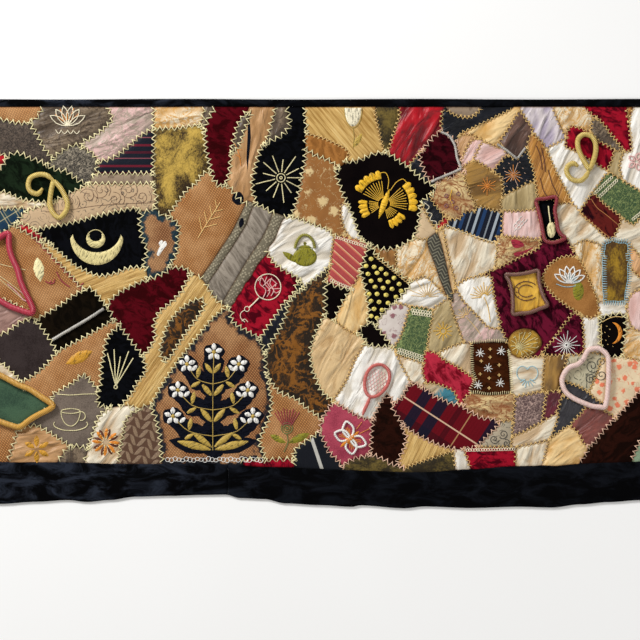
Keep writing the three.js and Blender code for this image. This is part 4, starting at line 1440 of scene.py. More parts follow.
def stitch_tree():
    """Repeats one stitch at a pitch along every line, turned to follow it."""
    tree, start = geometry_tree("seam stitches", [
        ("Pitch", "NodeSocketFloat"), ("Stitch", "NodeSocketObject"), ("Thread", "NodeSocketMaterial")])
    curve = add(tree, "GeometryNodeMeshToCurve", links={"Mesh": start.outputs["Geometry"]})
    even = add(
        tree, "GeometryNodeResampleCurve", {"mode": "LENGTH"},
        {"Curve": curve.outputs["Curve"], "Length": start.outputs["Pitch"]}
    )
    tangent = add(tree, "GeometryNodeInputTangent")
    turn = add(
        tree, "FunctionNodeAlignRotationToVector", {"axis": "X", "pivot_axis": "Z"},
        {"Vector": tangent.outputs["Tangent"]}
    )
    unit = add(tree, "GeometryNodeObjectInfo", links={"Object": start.outputs["Stitch"]})
    placed = add(
        tree, "GeometryNodeInstanceOnPoints",
        links={
            "Points": even.outputs["Curve"], "Instance": unit.outputs["Geometry"],
            "Rotation": turn.outputs["Rotation"]
        }
    )
    return close_tree(tree, start, placed.outputs["Instances"])


def made_by(tree, name, lines, inputs):
    """A plain mesh that a tree makes along lines, each a thread's radius and its places (x, y), in mm."""
    verts, edges, thick = [], [], []
    for radius, line in lines:
        edges += [(len(verts) + k, len(verts) + k + 1) for k in range(len(line) - 1)]
        verts += [(x * MM, y * MM, 0.6 * radius * MM) for x, y in line]
        thick += [radius * MM] * len(line)
    mesh = bpy.data.meshes.new(name)
    mesh.from_pydata(verts, edges, [])
    mesh.attributes.new("thick", "FLOAT", "POINT").data.foreach_set("value", thick)
    piece = bpy.data.objects.new(name, mesh)
    bpy.context.collection.objects.link(piece)
    modifier = piece.modifiers.new("sewing", "NODES")
    modifier.node_group = tree
    for item in tree.interface.items_tree:
        if item.in_out == "INPUT" and item.name in inputs:
            modifier[item.identifier] = inputs[item.name]
    bpy.context.view_layer.update()
    finished = bpy.data.meshes.new_from_object(piece.evaluated_get(bpy.context.evaluated_depsgraph_get()))
    piece.modifiers.remove(modifier)
    piece.data = finished
    finished.name = name
    finished.shade_smooth()
    return piece


# Each stitch: its pitch and its thread's radius in mm, its thread, and one repeat's strokes over the seam.
STITCHES = {
    "pale_zigzag": (7.3, 0.6, "pale", [((-3.9, -3.0), (0.4, 3.4)), ((-0.4, 3.4), (3.9, -3.0))]),
    "peach_zigzag": (6.6, 0.55, "peach", [((-3.5, -2.8), (0.4, 3.4)), ((-0.4, 3.4), (3.5, -2.8))]),
    "gold_briar": (5.2, 0.42, "gold", [((-2.9, -2.3), (1.0, 2.3)), ((-1.0, 2.3), (2.9, -2.3))]),
    "straw_bars": (2.6, 0.42, "pale", [((0, -0.8), (0.2, 3.4))]),
    "blue_bars": (2.8, 0.5, "blue", [((0, -1.0), (0.2, 4.4)), ((-1.4, -0.8), (1.4, -0.8))]),
}
EDGED = {
    "chestnut velvet": "straw_bars", "amber plush": "blue_bars", "burgundy velvet": "peach_zigzag",
    "tartan": "peach_zigzag", "rose wool": "peach_zigzag", "dark brown velvet": "peach_zigzag",
    "black wool": "pale_zigzag", "grey lace": None, "chevron ribbon": None, "gold disc": None,
}
LEFT_HALF_ENDS = 8
CLEAR_OF_BORDER = 4.2
sewn_lines = {kind: [] for kind in STITCHES}
for line, pair in seams:
    line = [
        (x, y) for x, y in line
        if along_edge(BORDER_SEAM, x) + CLEAR_OF_BORDER < y < PANEL_TOP - CLEAR_OF_BORDER
    ]
    if OUTSIDE in pair or len(line) < 3:
        continue
    plain = "pale_zigzag" if line[len(line) // 2][0] < LEFT_HALF_ENDS else "gold_briar"
    edgings = [EDGED[PATCHES[patch][0]] for patch in (max(pair), min(pair)) if PATCHES[patch][0] in EDGED]
    kind = edgings[0] if edgings else plain
    if kind:
        sewn_lines[kind].append(line)

along_seams = stitch_tree()
for kind, (pitch, radius, thread, strokes) in STITCHES.items():
    unit = one_stitch(strokes, radius)
    piece = made_by(along_seams, "stitches_" + kind, [(0, line) for line in sewn_lines[kind]], {
        "Pitch": pitch * MM, "Stitch": unit, "Thread": THREADS[thread]})
    bpy.data.objects.remove(unit)
    drape(piece, 1.0)
    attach(piece, "root")


# The embroidery. Flowers, leaves, butterflies, moons, stars and small household things, worked by hand in
# silk floss: outlines in stem stitch, and solid parts in satin stitch, which stands up in a low dome. All
# are plain motifs of their kinds, built for this quilt from ovals, rays and petals.
def thread_tree():
    """A round sewn thread along every line, a little thicker at each stem stitch, every 2.4 mm."""
    tree, start = geometry_tree("stem stitch", [("Thread", "NodeSocketMaterial")])
    curve = add(tree, "GeometryNodeMeshToCurve", links={"Mesh": start.outputs["Geometry"]})
    even = add(
        tree, "GeometryNodeResampleCurve", {"mode": "LENGTH", "Length": 0.8 * MM},
        {"Curve": curve.outputs["Curve"]}
    )
    along = add(tree, "GeometryNodeSplineParameter")
    swell = reckon("SINE", reckon("MULTIPLY", along.outputs["Length"], 2 * math.pi / (2.4 * MM)))
    radius = add(tree, "GeometryNodeInputNamedAttribute", {"data_type": "FLOAT", "Name": "thick"})
    thick = reckon(
        "MULTIPLY", radius.outputs["Attribute"], reckon("ADD", reckon("MULTIPLY", swell, 0.22), 1.0)
    )
    sized = add(tree, "GeometryNodeSetCurveRadius", links={"Curve": even.outputs["Curve"], "Radius": thick})
    ring = add(tree, "GeometryNodeCurvePrimitiveCircle", {"Resolution": 5, "Radius": 1.0})
    solid = add(
        tree, "GeometryNodeCurveToMesh", {"Fill Caps": True},
        {"Curve": sized.outputs["Curve"], "Profile Curve": ring.outputs["Curve"]}
    )
    tree.links.new(thick, solid.inputs["Scale"])
    return close_tree(tree, start, solid.outputs["Mesh"])


def through(route, closed, pieces_between=4):
    """A smooth line through the points of a route."""
    count, line = len(route), []
    for k in range(count if closed else count - 1):
        p = [
            Vector(route[(k + d) % count if closed else max(0, min(count - 1, k + d))])
            for d in (-1, 0, 1, 2)
        ]
        for step in range(pieces_between):
            t = step / pieces_between
            curve = 2 * p[1] + (p[2] - p[0]) * t + (2 * p[0] - 5 * p[1] + 4 * p[2] - p[3]) * t * t
            line.append(tuple((curve + (3 * p[1] - p[0] - 3 * p[2] + p[3]) * t ** 3) / 2))
    return line if closed else line + [tuple(route[-1])]


def curved(text):
    return through(read_pairs(text), False)


def rounded(text):
    return through(read_pairs(text), True, 3)


def arc(u, v, wide, high, start=0, end=360, count=22):
    """Part of an oval, from start to end in degrees, where 90 is down the picture."""
    turns = [math.radians(mix(start, end, k / count)) for k in range(count + 1)]
    return [(u + wide * math.cos(t), v + high * math.sin(t)) for t in turns]


def out_from(u, v, angle, length):
    return u + length * math.cos(math.radians(angle)), v + length * math.sin(math.radians(angle))


def rays(u, v, count, near, far, start=0, end=360, uneven=0.12):
    """Straight stitches that point outwards, from near to far, a little uneven in length."""
    last = count if end - start == 360 else count - 1
    angles = [mix(start, end, k / last) for k in range(count)]
    return [
        [out_from(u, v, a, near), out_from(u, v, a, far * (1 + uneven * math.sin(k * 2.4)))]
        for k, a in enumerate(angles)
    ]


def petal(u, v, angle, length, width):
    """A pointed oval from its base outwards."""
    sides = [
        (0, 0), (0.25, 0.36), (0.55, 0.5), (0.82, 0.3), (1, 0), (0.82, -0.3), (0.55, -0.5), (0.25, -0.36)
    ]
    c, s = math.cos(math.radians(angle)), math.sin(math.radians(angle))
    return [(u + length * x * c - width * y * s, v + length * x * s + width * y * c) for x, y in sides]


threads_sewn, satin_sewn = {}, {}


def sew(thread, radius, *lines):
    threads_sewn.setdefault(thread, []).extend([(radius, [at(*p) for p in line]) for line in lines])


def fill(thread, grain, *outlines, lift=0.9):
    satin_sewn.setdefault(thread, []).extend(
        [([at(*p) for p in outline], grain, lift) for outline in outlines]
    )


# A new moon and a small ring on the black half circle.
fill("wheat", 70, arc(97, 237, 26.5, 28, 4, 176) + arc(97, 232, 24, 20.5, 174, 6), lift=1.2)
fill("wheat", 20, arc(96, 239, 9.5, 9.2, -30, 210) + arc(96, 236, 6.2, 5.4, 205, -25), lift=1.2)
sew("wheat", 0.6, arc(96, 239, 9, 9, 200, 340))
sew("wheat", 0.5, *[arc(97, 234, 25.2 - k, 24.5 + k * 1.4, 20 + 6 * k, 160 - 6 * k) for k in (-0.6, 0.5)])
# A sun of thirteen rays round a ringed eye, on black velvet.
sew(
    "pale", 0.68, arc(281, 178, 4.2, 4.2), arc(281, 178, 1.3, 1.3, count=8),
    *rays(281, 178, 13, 6, 22, uneven=0.18)
)
# Five long stitches spread from a knot, on the black leaf-shaped patch.
sew("pale", 0.72, *rays(116, 386, 5, 1, 34, -104, -58, 0.12), arc(116, 387, 1.8, 1.8, count=8))
# A large butterfly seen from above on black wool, its four wings spread evenly and edged in scallops.
BODY = (384, 204)
HEADING = -70
for hand in (-1, 1):
    for first, last, scallops, far in ((26, 84, 5, 34), (100, 146, 4, 26)):
        edge = [HEADING + hand * mix(first, last, k / scallops) for k in range(scallops + 1)]
        for a, b in zip(edge, edge[1:]):
            outer = [
                out_from(*BODY, mix(a, b, t), far - 3 * (2 * t - 1) ** 2) for t in (0, 0.2, 0.5, 0.8, 1)
            ]
            inner = [out_from(*BODY, mix(b, a, t), far - 9) for t in (0, 0.5, 1)]
            fill("yellow", -a, outer + inner, lift=1.4)
        sew("yellow", 0.5, *rays(*BODY, 2 * scallops - 1, 6, far - 11, edge[0], edge[-1], 0.03))
    feeler = [
        out_from(*BODY, HEADING + hand * turn, reach)
        for turn, reach in ((6, 15), (9, 24), (17, 31), (27, 31))
    ]
    sew("yellow", 0.5, through(feeler, False))
fill("yellow", 90 - HEADING, petal(*out_from(*BODY, HEADING + 180, 16), HEADING, 32, 6.5), lift=1.8)
# A round kettle in olive satin stitch on white silk.
fill("olive", 68, arc(305, 257, 12, 9.5)[:-1], petal(299, 263, -146, 20, 6.5), lift=1.6)
fill("olive", 0, arc(305, 248.5, 6.5, 3.4, 180, 360, 8), arc(305, 243.6, 1.8, 1.8, count=8)[:-1])
sew("olive", 2.0, arc(305, 250, 10, 15, 186, 354))
sew("green", 0.45, arc(305, 249, 7.5, 2.2), arc(305, 257, 10, 7.6, 20, 160))
# A ringed net with a twisted handle, in cream and pink on crimson.
sew("cream", 0.7, arc(268, 287, 13, 13))
sew(
    "pink", 0.6,
    *[
        curved(
            f"{258 + d},{281 + d} {262 + d},{278 + d} {266 + d},{283 + d} {271 + d},{279 + d} "
            f"{277 - d / 3},{284 + d / 2}"
        )
        for d in (0, 5, 10)
    ]
)
sew(
    "pink", 0.6,
    *[
        curved(f"{262 + 5 * k},{276 + k} {260 + 5 * k},{284} {266 + 4 * k},{290} {263 + 4 * k},{298 - k}")
        for k in range(3)
    ]
)
sew("cream", 0.9, curved("259,298 254,303 249,308"))
sew(
    "cream", 0.5, arc(247, 309, 2.6, 2.6, count=10), curved("245,310 241,313 241,318 245,322"),
    curved("242,321 245,319 248,322")
)
# An even branching stem on painted twill: a white five-petalled blossom at each tip, buds, and gold leaves
# in pairs, over navy shadows.
FOOT = (213, 450)
BRANCHES = [(0, (FOOT, (FOOT[0], FOOT[1] - 50), (FOOT[0] + 1, FOOT[1] - 98)))]
for rise, reach in ((14, 40), (40, 35), (66, 26)):
    for hand in (-1, 1):
        fork, tip = (FOOT[0], FOOT[1] - rise), (FOOT[0] + hand * reach, FOOT[1] - rise - 20)
        BRANCHES.append((hand, (fork, (fork[0] + hand * reach * 0.6, fork[1] - 5), tip)))
LEAVES = [
    (FOOT[0], FOOT[1] - rise, -90 + hand * lean, long, wide)
    for rise, lean, long, wide in (
        (0, 76, 38, 8), (2, 52, 27, 6.5), (27, 40, 20, 6), (53, 40, 18, 5.5), (76, 36, 14, 5)
    )
    for hand in (-1, 1)
]
for hand, branch in BRANCHES:
    stem = through(branch, False)
    for k, (u, v) in enumerate(stem):
        blot = [
            (t * 0.35, 9.5 + 1.2 * math.sin(t * 0.7 + k) + 0.8 * math.sin(t * 1.75 + k)) for t in range(18)
        ]
        fill("ink", 0, [(u + r * math.cos(t), v + r * math.sin(t)) for t, r in blot], lift=0.1)
    sew("bronze", 0.55, stem)
    if hand:
        fill("white", 90, petal(*stem[6], -90 - 45 * hand, 9, 4.4), lift=1.1)
        fill(
            "bronze", 35, petal(*stem[4], -90 - 10 * hand, 14, 5), petal(*stem[3], 90 - 60 * hand, 13, 4.6),
            lift=1.1
        )
    fill(
        "white", 90, *[petal(*out_from(*stem[-1], a, 1.2), a, 8, 5.2) for a in range(-90, 270, 72)],
        lift=1.3
    )
    fill("bronze", 0, arc(*stem[-1], 2.1, 2.1, count=8)[:-1], lift=1.6)
fill("ink", 0, *[petal(u, v + 1, a, long * 1.2, wide * 2) for u, v, a, long, wide in LEAVES], lift=0.1)
fill("bronze", 35, *[petal(u, v, a, long, wide) for u, v, a, long, wide in LEAVES], lift=1.3)
sew("ink", 0.3, *[[(u, v), out_from(u, v, a, long * 0.9)] for u, v, a, long, wide in LEAVES])
sew(
    "white", 0.42,
    *[
        arc(168 + 3.7 * k, 459.5 + 0.8 * math.sin(k * 2.1), 2.3, 2.1 + 0.4 * math.sin(k * 1.3), count=10)
        for k in range(26)
    ]
)
# A thistle: crimson bristles over a green ringed head, with two leaves.
sew("crimson", 0.65, *rays(287, 432, 9, 8, 23, -122, -58, 0.05))
sew(
    "green", 0.6, arc(287, 428, 5.6, 5.6), arc(287, 428, 3.4, 3.4), arc(287, 428, 1.2, 1.2, count=8),
    curved("287,434 288,442 284,452")
)
fill("olive", 30, petal(286, 443, -152, 18, 6.5), petal(288, 443, -24, 24, 8))
fill("bronze", 30, petal(286, 442, -146, 14, 3), petal(289, 442, -20, 18, 3.4), lift=1.1)
# A small butterfly on rose wool, seen from above: orange body, four white looped wings, and orange ribs.
fill("orange", 55, petal(340, 447, -40, 25, 7), lift=2.4)
for turn, long in ((-122, 16), (-62, 17), (62, 17), (122, 16)):
    wing = through(petal(350, 438, -40 + turn, long, 11), True, 3)
    sew("white", 1.5, wing + wing[:1])
    sew("orange", 0.5, *rays(350, 438, 3, 4, 11, -40 + turn - 10, -40 + turn + 10))
sew("orange", 0.5, *rays(350, 438, 2, 11, 20, -54, -26))


def winding(u, v, size, turn, hand):
    """A line that starts at an angle in degrees and winds in to its middle."""
    return [out_from(u, v, turn + hand * k * 24, size * (1 - k / 26)) for k in range(24)]


# Curling scrolls in brown ink on the printed cotton, and in dark thread on two small patches.
SCROLLS = [
    (88, 196, 8, 200, 1), (101, 190, 9, 150, -1), (115, 199, 7, 260, 1), (128, 190, 9, 20, 1),
    (142, 197, 7, 180, -1), (70, 202, 6, 90, 1)
]
sew("brown", 0.26, *[winding(*scroll) for scroll in SCROLLS])
sew(
    "brown", 0.26, *[curved(f"{u + 7},{v - 6} {u + 10},{v} {u + 8},{v + 6}") for u, v, *_ in SCROLLS],
    curved("46,212 70,210 96,206 124,204 152,203")
)
INKED = [
    (592, 366, 7, 30, 1), (601, 375, 6, 200, -1), (601, 362, 5, 90, 1), (590, 379, 5, 300, -1),
    (494, 439, 5, 10, 1), (503, 434, 5, 140, -1), (506, 443, 4, 250, 1)
]
sew("ink", 0.42, *[winding(*scroll) for scroll in INKED])
# A teacup and saucer in outline on grey flannel, under a plain stitched line.
sew(
    "pale", 0.6, arc(71, 411, 9.5, 2.4), arc(71, 411, 9.5, 15, 0, 180),
    arc(81.5, 416, 4.2, 4.4, -110, 110, 12)
)
sew("pale", 0.6, arc(71, 424, 17, 6.5, -20, 200), curved("57,394 70,395 84,394 96,394"))
# A six-petalled gold flower on tan satin, and a daisy of brown and peach petals on cream.
fill("amber", 40, *[petal(*out_from(37, 449, a, 2), a, 12, 5.6) for a in range(-90, 270, 60)], lift=1.2)
fill(
    "brown", 30, *[petal(*out_from(106, 442, a, 2.4), a + 10, 12, 4.2) for a in range(-80, 280, 45)],
    lift=1.1
)
fill(
    "orange", 30, *[petal(*out_from(106, 442, a, 2.4), a - 7, 12, 4.4) for a in range(-80, 280, 45)],
    lift=1.2
)
sew("pale", 0.6, *rays(106, 442, 8, 3, 11.5, -76, 239, 0.05))
# A gold leaf, a faded gold sprig, a cream leaf, and loose threads on the twill patches.
for thread, dark, u, v, a, long, wide in (
    ("amber", "brown", 66, 364, -26, 30, 11.5), ("pale", "bronze", 41, 282, -98, 25, 11)
):
    fill(thread, 60, petal(u, v, a, long, wide), lift=1.2)
    sew(dark, 0.4, [out_from(u, v, a, 2), out_from(u, v, a, long * 0.86)])
sew("gold", 0.5, [(198, 238), out_from(198, 238, -58, 42)])
for k in range(7):
    twig = out_from(198, 238, -58, 8 + 4.6 * k)
    sew("gold", 0.5, [twig, out_from(*twig, -58 + (44 if k % 2 else -44), 14 - k)])
sew(
    "pale", 0.4, curved("0,264 12,267 26,270"), curved("0,276 10,283 20,291 27,299"),
    curved("0,279 9,287 19,296 26,301")
)
sew("pink", 0.8, curved("8,284 16,291 24,300"), curved("20,291 26,296 27,301 22,299"))
sew(
    "crimson", 0.7, curved("46,281 49,283 52,281"), curved("50,284 54,283 55,279"),
    curved("57,272 62,281 70,287"), curved("80,286 84,283")
)
sew(
    "orange", 0.45, curved("231,139 237,148 240,158 241,166"), curved("238,150 242,150"),
    curved("236,155 241,158")
)
# A cream tulip on pleated silk, and worn holes and slits in the old silks.
fill("cream", 90, arc(353, 108, 8.5, 19, 0, 180, 12), lift=1.3)
sew(
    "bronze", 0.5, arc(353, 108, 9, 20, 0, 180), arc(353, 108, 3.2, 18, 0, 180),
    [(353, 128), (354, 138), (353, 148)]
)
fill("bronze", 40, petal(353, 148, -58, 17, 6))
fill(
    "ink", 0, read_pairs("248,119 250,121 251,138 249,158 247.5,171 246.5,158 247.5,138"),
    rounded("234,194 240,192 244,198 242,204 237,205 232,200"), rounded("239,220 243,218 244,224 240,228"),
    lift=0.15
)
sew(
    "brown", 0.55, curved("536,146 540,156 542,170"), curved("541,148 544,160 545,172"),
    curved("548,170 552,184 558,196"), curved("540,178 543,190 548,198")
)
# Knots of cream silk in even rows on black wool: 8 steps apart.
DOTS = read_pairs(
    "371,259 366,266 374,267 381,269 368,274 377,273 386,274 394,278 371,281 380,280 388,282 399,284 "
    "375,287 383,288 392,289 401,291 369,294 377,294 386,295 396,297 371,301 379,302 388,303 374,309 "
    "382,310 371,316 377,318"
)
fill("straw", 45, *[arc(u, v, 2.5, 2.2, count=9)[:-1] for u, v in DOTS], lift=1.4)
# A horseshoe on yellow silk, ribs on the gold disc, a spoon on black, and a lotus and a seed on suede.
sew(
    "brown", 0.6, arc(526, 291, 12, 9.5, 40, 320), arc(526, 291, 8, 6, 40, 320),
    *[[out_from(526, 291, a, 9), out_from(526, 291, a, 10.4)] for a in range(60, 310, 28)]
)
sew(
    "wheat", 0.5,
    *[
        curved(f"517,348 {(517 + p[0]) / 2 + 1},{(348 + p[1]) / 2 - 1} {p[0]},{p[1]}")
        for p in arc(524, 344, 13.5, 12, -190, 150, 13)
    ]
)
sew(
    "wheat", 0.45,
    *[
        [(u, v), (u + 2.4, v - 1.6)]
        for u, v in read_pairs(
            "513,338 520,334 528,334 535,340 536,348 530,354 521,355 526,345 522,340 530,346"
        )
    ]
)
fill("pale", 90, arc(551, 230, 4.4, 8, count=16)[:-1], lift=1.3)
sew("pale", 0.9, [(550, 223), (548, 206)])
sew(
    "white", 0.85,
    *[bud + bud[:1] for bud in [petal(569, 283, a, 17, 6) for a in (-150, -125, -100, -75, -50, -25)]]
)
sew("blue", 0.6, *rays(569, 284, 7, 2, 13, -160, -20), curved("556,284 566,287 580,285"))
fill("olive", 20, arc(578, 291, 5.5, 9.5, count=18)[:-1])
sew(
    "pale", 0.4, *[curved(f"{575 + 2.2 * k},284 {574 + 2.2 * k},291 {576 + 2.2 * k},298") for k in range(3)]
)
# Stars: white and gold on chestnut velvet, orange on navy, yellow on khaki, white on the wine corner.
for u, v in read_pairs("480,353 501,351 488,368 478,385 500,383"):
    sew("white", 0.5, *rays(u, v, 8, 0.4, 4.4, 10, 370))
for u, v in read_pairs("490,349 490,357 481,361 499,365 480,374 499,375 489,378 489,388"):
    sew("gold", 0.6, [(u - 1.7, v), (u + 1.7, v)], [(u, v - 1.7), (u, v + 1.7)])
sew("orange", 0.5, *rays(513, 175, 8, 0.5, 8, 0, 360, 0.3), *rays(487, 186, 12, 0.5, 8, 0, 360, 0.25))
sew(
    "peach", 0.35, *rays(513, 175, 8, 0.5, 10, 22, 382, 0.3),
    *[
        [(u, v), (u + 1.4, v + 0.8)]
        for u, v in read_pairs("503,168 506,186 522,168 526,180 519,162 499,180 512,188 524,173 508,163")
    ]
)
sew("yellow", 0.5, *rays(443, 331, 12, 3, 9), arc(443, 331, 3, 3, count=12))
sew("white", 0.45, *rays(566, 345, 17, 1, 12, -20, 340, 0.25))
sew("yellow", 0.45, *rays(484, 297, 11, 3, 13, -185, -30, 0.15), curved("484,297 488,308 490,322"))
sew(
    "gold", 0.4, *rays(466, 317, 8, 2, 10, -190, -60), curved("466,317 474,326 480,334"),
    *rays(427, 297, 11, 2, 16, -175, -5, 0.3)
)
fill("orange", 70, arc(611, 333, 11, 11, -70, 70, 12) + arc(606, 333, 12, 12, 62, -62, 12), lift=1.2)
sew(
    "gold", 0.5,
    *[
        [(u, v), (u + 0.9, v + 0.6)]
        for u, v in read_pairs("606,326 604,332 608,336 605,340 609,329 607,344 612,346")
    ],
    curved("602,322 612,317 622,317"), curved("601,324 601,346")
)
# Crimson edging below the new moon, gold loops beside the knots, a white sprig, and a worn white streak.
sew(
    "crimson", 0.45,
    *[
        curved(
            f"{33 + 3.3 * k},{233 + 3.5 * k} {30.5 + 3.3 * k},{236 + 3.5 * k} "
            f"{34 + 3.3 * k},{237 + 3.5 * k}"
        )
        for k in range(16)
    ]
)
sew(
    "gold", 0.42,
    *[arc(mix(376, 408, k / 13), mix(256, 282, k / 13), 2.1, 1.5, 200, 520, 8) for k in range(14)]
)
sew(
    "white", 0.45, curved("514,231 518,226 524,219"),
    *[
        curved(f"{515 + 3 * k},{229 - 3.5 * k} {513 + 3 * k},{226 - 3.5 * k} {516 + 3 * k},{223 - 3.5 * k}")
        for k in range(3)
    ],
    *[
        curved(f"{516 + 3 * k},{229 - 3.5 * k} {519 + 3 * k},{229 - 3.5 * k} {521 + 3 * k},{226 - 3.5 * k}")
        for k in range(3)
    ]
)
fill(
    "white", 60, rounded("157,254 160,247 165,241 167,245 163,250 159,256"),
    rounded("159,243 162,240 163,243 160,246"), lift=0.2
)
# A shell of cream loops on taupe, blossoms on the right edge, and a wreath of grey blue.
for k in range(6):
    shell = petal(68, 126, -150 + 24 * k, 20, 7)
    sew("cream", 0.7, shell + shell[:1])
sew("orange", 0.6, *rays(68, 125, 5, 5, 16, -140, -45))
sew(
    "cream", 0.6,
    *[curved(f"{56 + 6 * k},{130 + k % 2} {59 + 6 * k},{134} {62 + 6 * k},{130 + k % 2}") for k in range(4)]
)
for a in range(0, 360, 72):
    bloom = petal(*out_from(636, 162, a, 2), a, 7, 4.4)
    sew("pink", 0.9, bloom + bloom[:1])
sew(
    "blue", 0.6, arc(522, 373, 5.5, 7, 60, 330), arc(532, 373, 5.5, 7, 210, 480),
    *rays(527, 378, 6, 3, 9, 30, 150)
)
sew(
    "lilac", 0.5,
    *[
        curved(f"{u},{v} {u + 2},{v - 2} {u + 4},{v} {u + 2},{v + 2} {u},{v}")
        for u, v in read_pairs("444,196 450,202 444,206 456,194 454,208")
    ]
)
sew("yellow", 0.5, curved("452,190 450,198 453,206"))
# Braids and edgings: silver braid on brown velvet, white fur trim, copper lines, wavy and looped borders.
sew("silver", 2.0, curved("53,339.5 70,329.5 88,319 104,308.5"))
sew("silver", 0.5, [(53 + 1.7 * k, 341 - 1.03 * k - (2.4 if k % 2 else 0)) for k in range(31)])
sew(
    "silver", 1.6, curved("441,132 449,136 455,146 457,158 461,168"),
    curved("461,169 452,173 440,178 431,182"), curved("497,144 507,151 517,159"), curved("518,158 525,148")
)
sew("copper", 0.55, curved("591,199 597,208 606,215 618,225"), curved("581,213 590,222 600,230 610,238"))
sew(
    "cream", 0.55, curved("424,203 429,207 426,212 432,214 430,220 436,222 437,229"),
    curved("447,225 462,232 480,238 500,244")
)
for start, end in (
    ((335, 237), (367, 247)), ((330, 280), (354, 290)), ((411, 310), (432, 313)), ((397, 352), (423, 361)),
    ((412, 313), (432, 316)), ((398, 349), (423, 357)), ((612, 177), (594, 194)), ((651, 204), (632, 220)),
    ((617, 180), (599, 197)), ((466, 450), (515, 449))
):
    steps = round(math.dist(start, end) / 2.6)
    for k in range(steps):
        u, v = mix(start[0], end[0], (k + 0.5) / steps), mix(start[1], end[1], (k + 0.5) / steps)
        sew("cream", 0.5, arc(u, v, 1.3, 1.5, 100, 430, 6))
fill(
    "crimson", 0, rounded("511,240 520,241 524,246 514,248"),
    rounded("514,253 524,251 533,247 526,253 516,257"), lift=0.3
)
# The racket's net, inside its padded rim.
NET = (376.4, 380.8)
for k in range(-3, 4):
    for lean in (-38, 82):
        reach = 13.5 - abs(k) * 1.6
        shift = out_from(*NET, lean + 90, 3.0 * k)
        sew("pink", 0.35, [out_from(*shift, lean, -reach * 0.88), out_from(*shift, lean, reach * 0.88)])


def satin_stitch(name, hex_colour):
    """Satin stitch in silk floss: gleaming strands side by side, with painted shade between them, drawn
    twice as coarse as real, to show.
    """
    material, tree, shader = new_material(name)
    grain = add(tree, "ShaderNodeAttribute", {"attribute_name": "weave"})
    placed = add(tree, "ShaderNodeMapping", {"Scale": (0.16, 0.55, 1)}, {"Vector": grain.outputs["Vector"]})
    settings = {"Scale": 1.0, "Detail": 2.0, "Roughness": 0.6, "Distortion": 0.6}
    strands = add(tree, "ShaderNodeTexNoise", settings, {"Vector": placed.outputs["Vector"]})
    # Painted shade: the grooves between strands, low in the relief, are painted at 0.36 of the colour.
    dark = [c * 0.36 for c in linear(hex_colour)[:3]] + [1.0]
    tree.links.new(
        blend(between(strands.outputs["Fac"], 0.34, 0.5), dark, linear(hex_colour)),
        shader.inputs["Base Color"]
    )
    emboss(shader, strands.outputs["Fac"], 0.0012, 0.8)
    shader.inputs["Roughness"].default_value = 0.45
    shader.inputs["Specular IOR Level"].default_value = 0.25 if max(linear(hex_colour)[:3]) > 0.05 else 0.02
    return material


RIM_SPACING, INNER_ACROSS, INNER_DOWN = 1.3, 1.6, 1.4


def domed_shape(outline, lift, verts, faces):
    """Adds a filled shape that rises from its outline to its middle."""
    rim = resampled(outline + outline[:1], RIM_SPACING)[:-1]
    near = kdtree.KDTree(len(rim))
    for index, (x, y) in enumerate(rim):
        near.insert((x, y, 0), index)
    near.balance()
    xs, ys = [p[0] for p in rim], [p[1] for p in rim]
    inner = []
    for j in range(int((max(ys) - min(ys)) / INNER_DOWN) + 1):
        for i in range(int((max(xs) - min(xs)) / INNER_ACROSS) + 1):
            x, y = min(xs) + (i + 0.5 * (j % 2)) * INNER_ACROSS, min(ys) + j * INNER_DOWN
            if inside(x, y, rim) and near.find((x, y, 0))[2] > 0.7:
                inner.append((x, y))
    spots, corners, _, _ = triangulate([rim], loose=inner, merge=0.02)
    first = len(verts)
    for x, y in spots:
        gap = near.find((x, y, 0))[2]
        verts.append((x, y, lift * (1 - math.exp(-((gap / 1.3) ** 2))) + 0.05))
    for a, b, c in corners:
        x, y = middle((a, b, c), spots)
        if inside(x, y, rim):
            to_b, to_c = (Vector(spots[corner]) - Vector(spots[a]) for corner in (b, c))
            turn = to_b.x * to_c.y - to_c.x * to_b.y
            faces.append(
                (first + a, first + b, first + c) if turn > 0 else (first + a, first + c, first + b)
            )


embroidery = []
along_thread = thread_tree()
for thread, lines in threads_sewn.items():
    piece = made_by(along_thread, "stem_stitch_" + thread, lines, {"Thread": THREADS[thread]})
    drape(piece, 0.25)
    embroidery.append(piece)
for thread, shapes in satin_sewn.items():
    verts, faces, weave = [], [], []
    for outline, grain, lift in shapes:
        domed_shape(outline, lift, verts, faces)
        turn = math.radians(grain)
        for x, y, _ in verts[len(weave) :]:
            weave.append(
                (x * math.cos(turn) + y * math.sin(turn), y * math.cos(turn) - x * math.sin(turn), 0.0)
            )
    material = satin_stitch("satin stitch " + thread, THREAD_COLOURS[thread])
    piece = mesh_object("satin_stitch_" + thread, verts, faces, material)
    set_weave(piece, weave)
    piece.data.shade_smooth()
    drape(piece)
    embroidery.append(piece)
for piece in embroidery:
    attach(piece, "root")


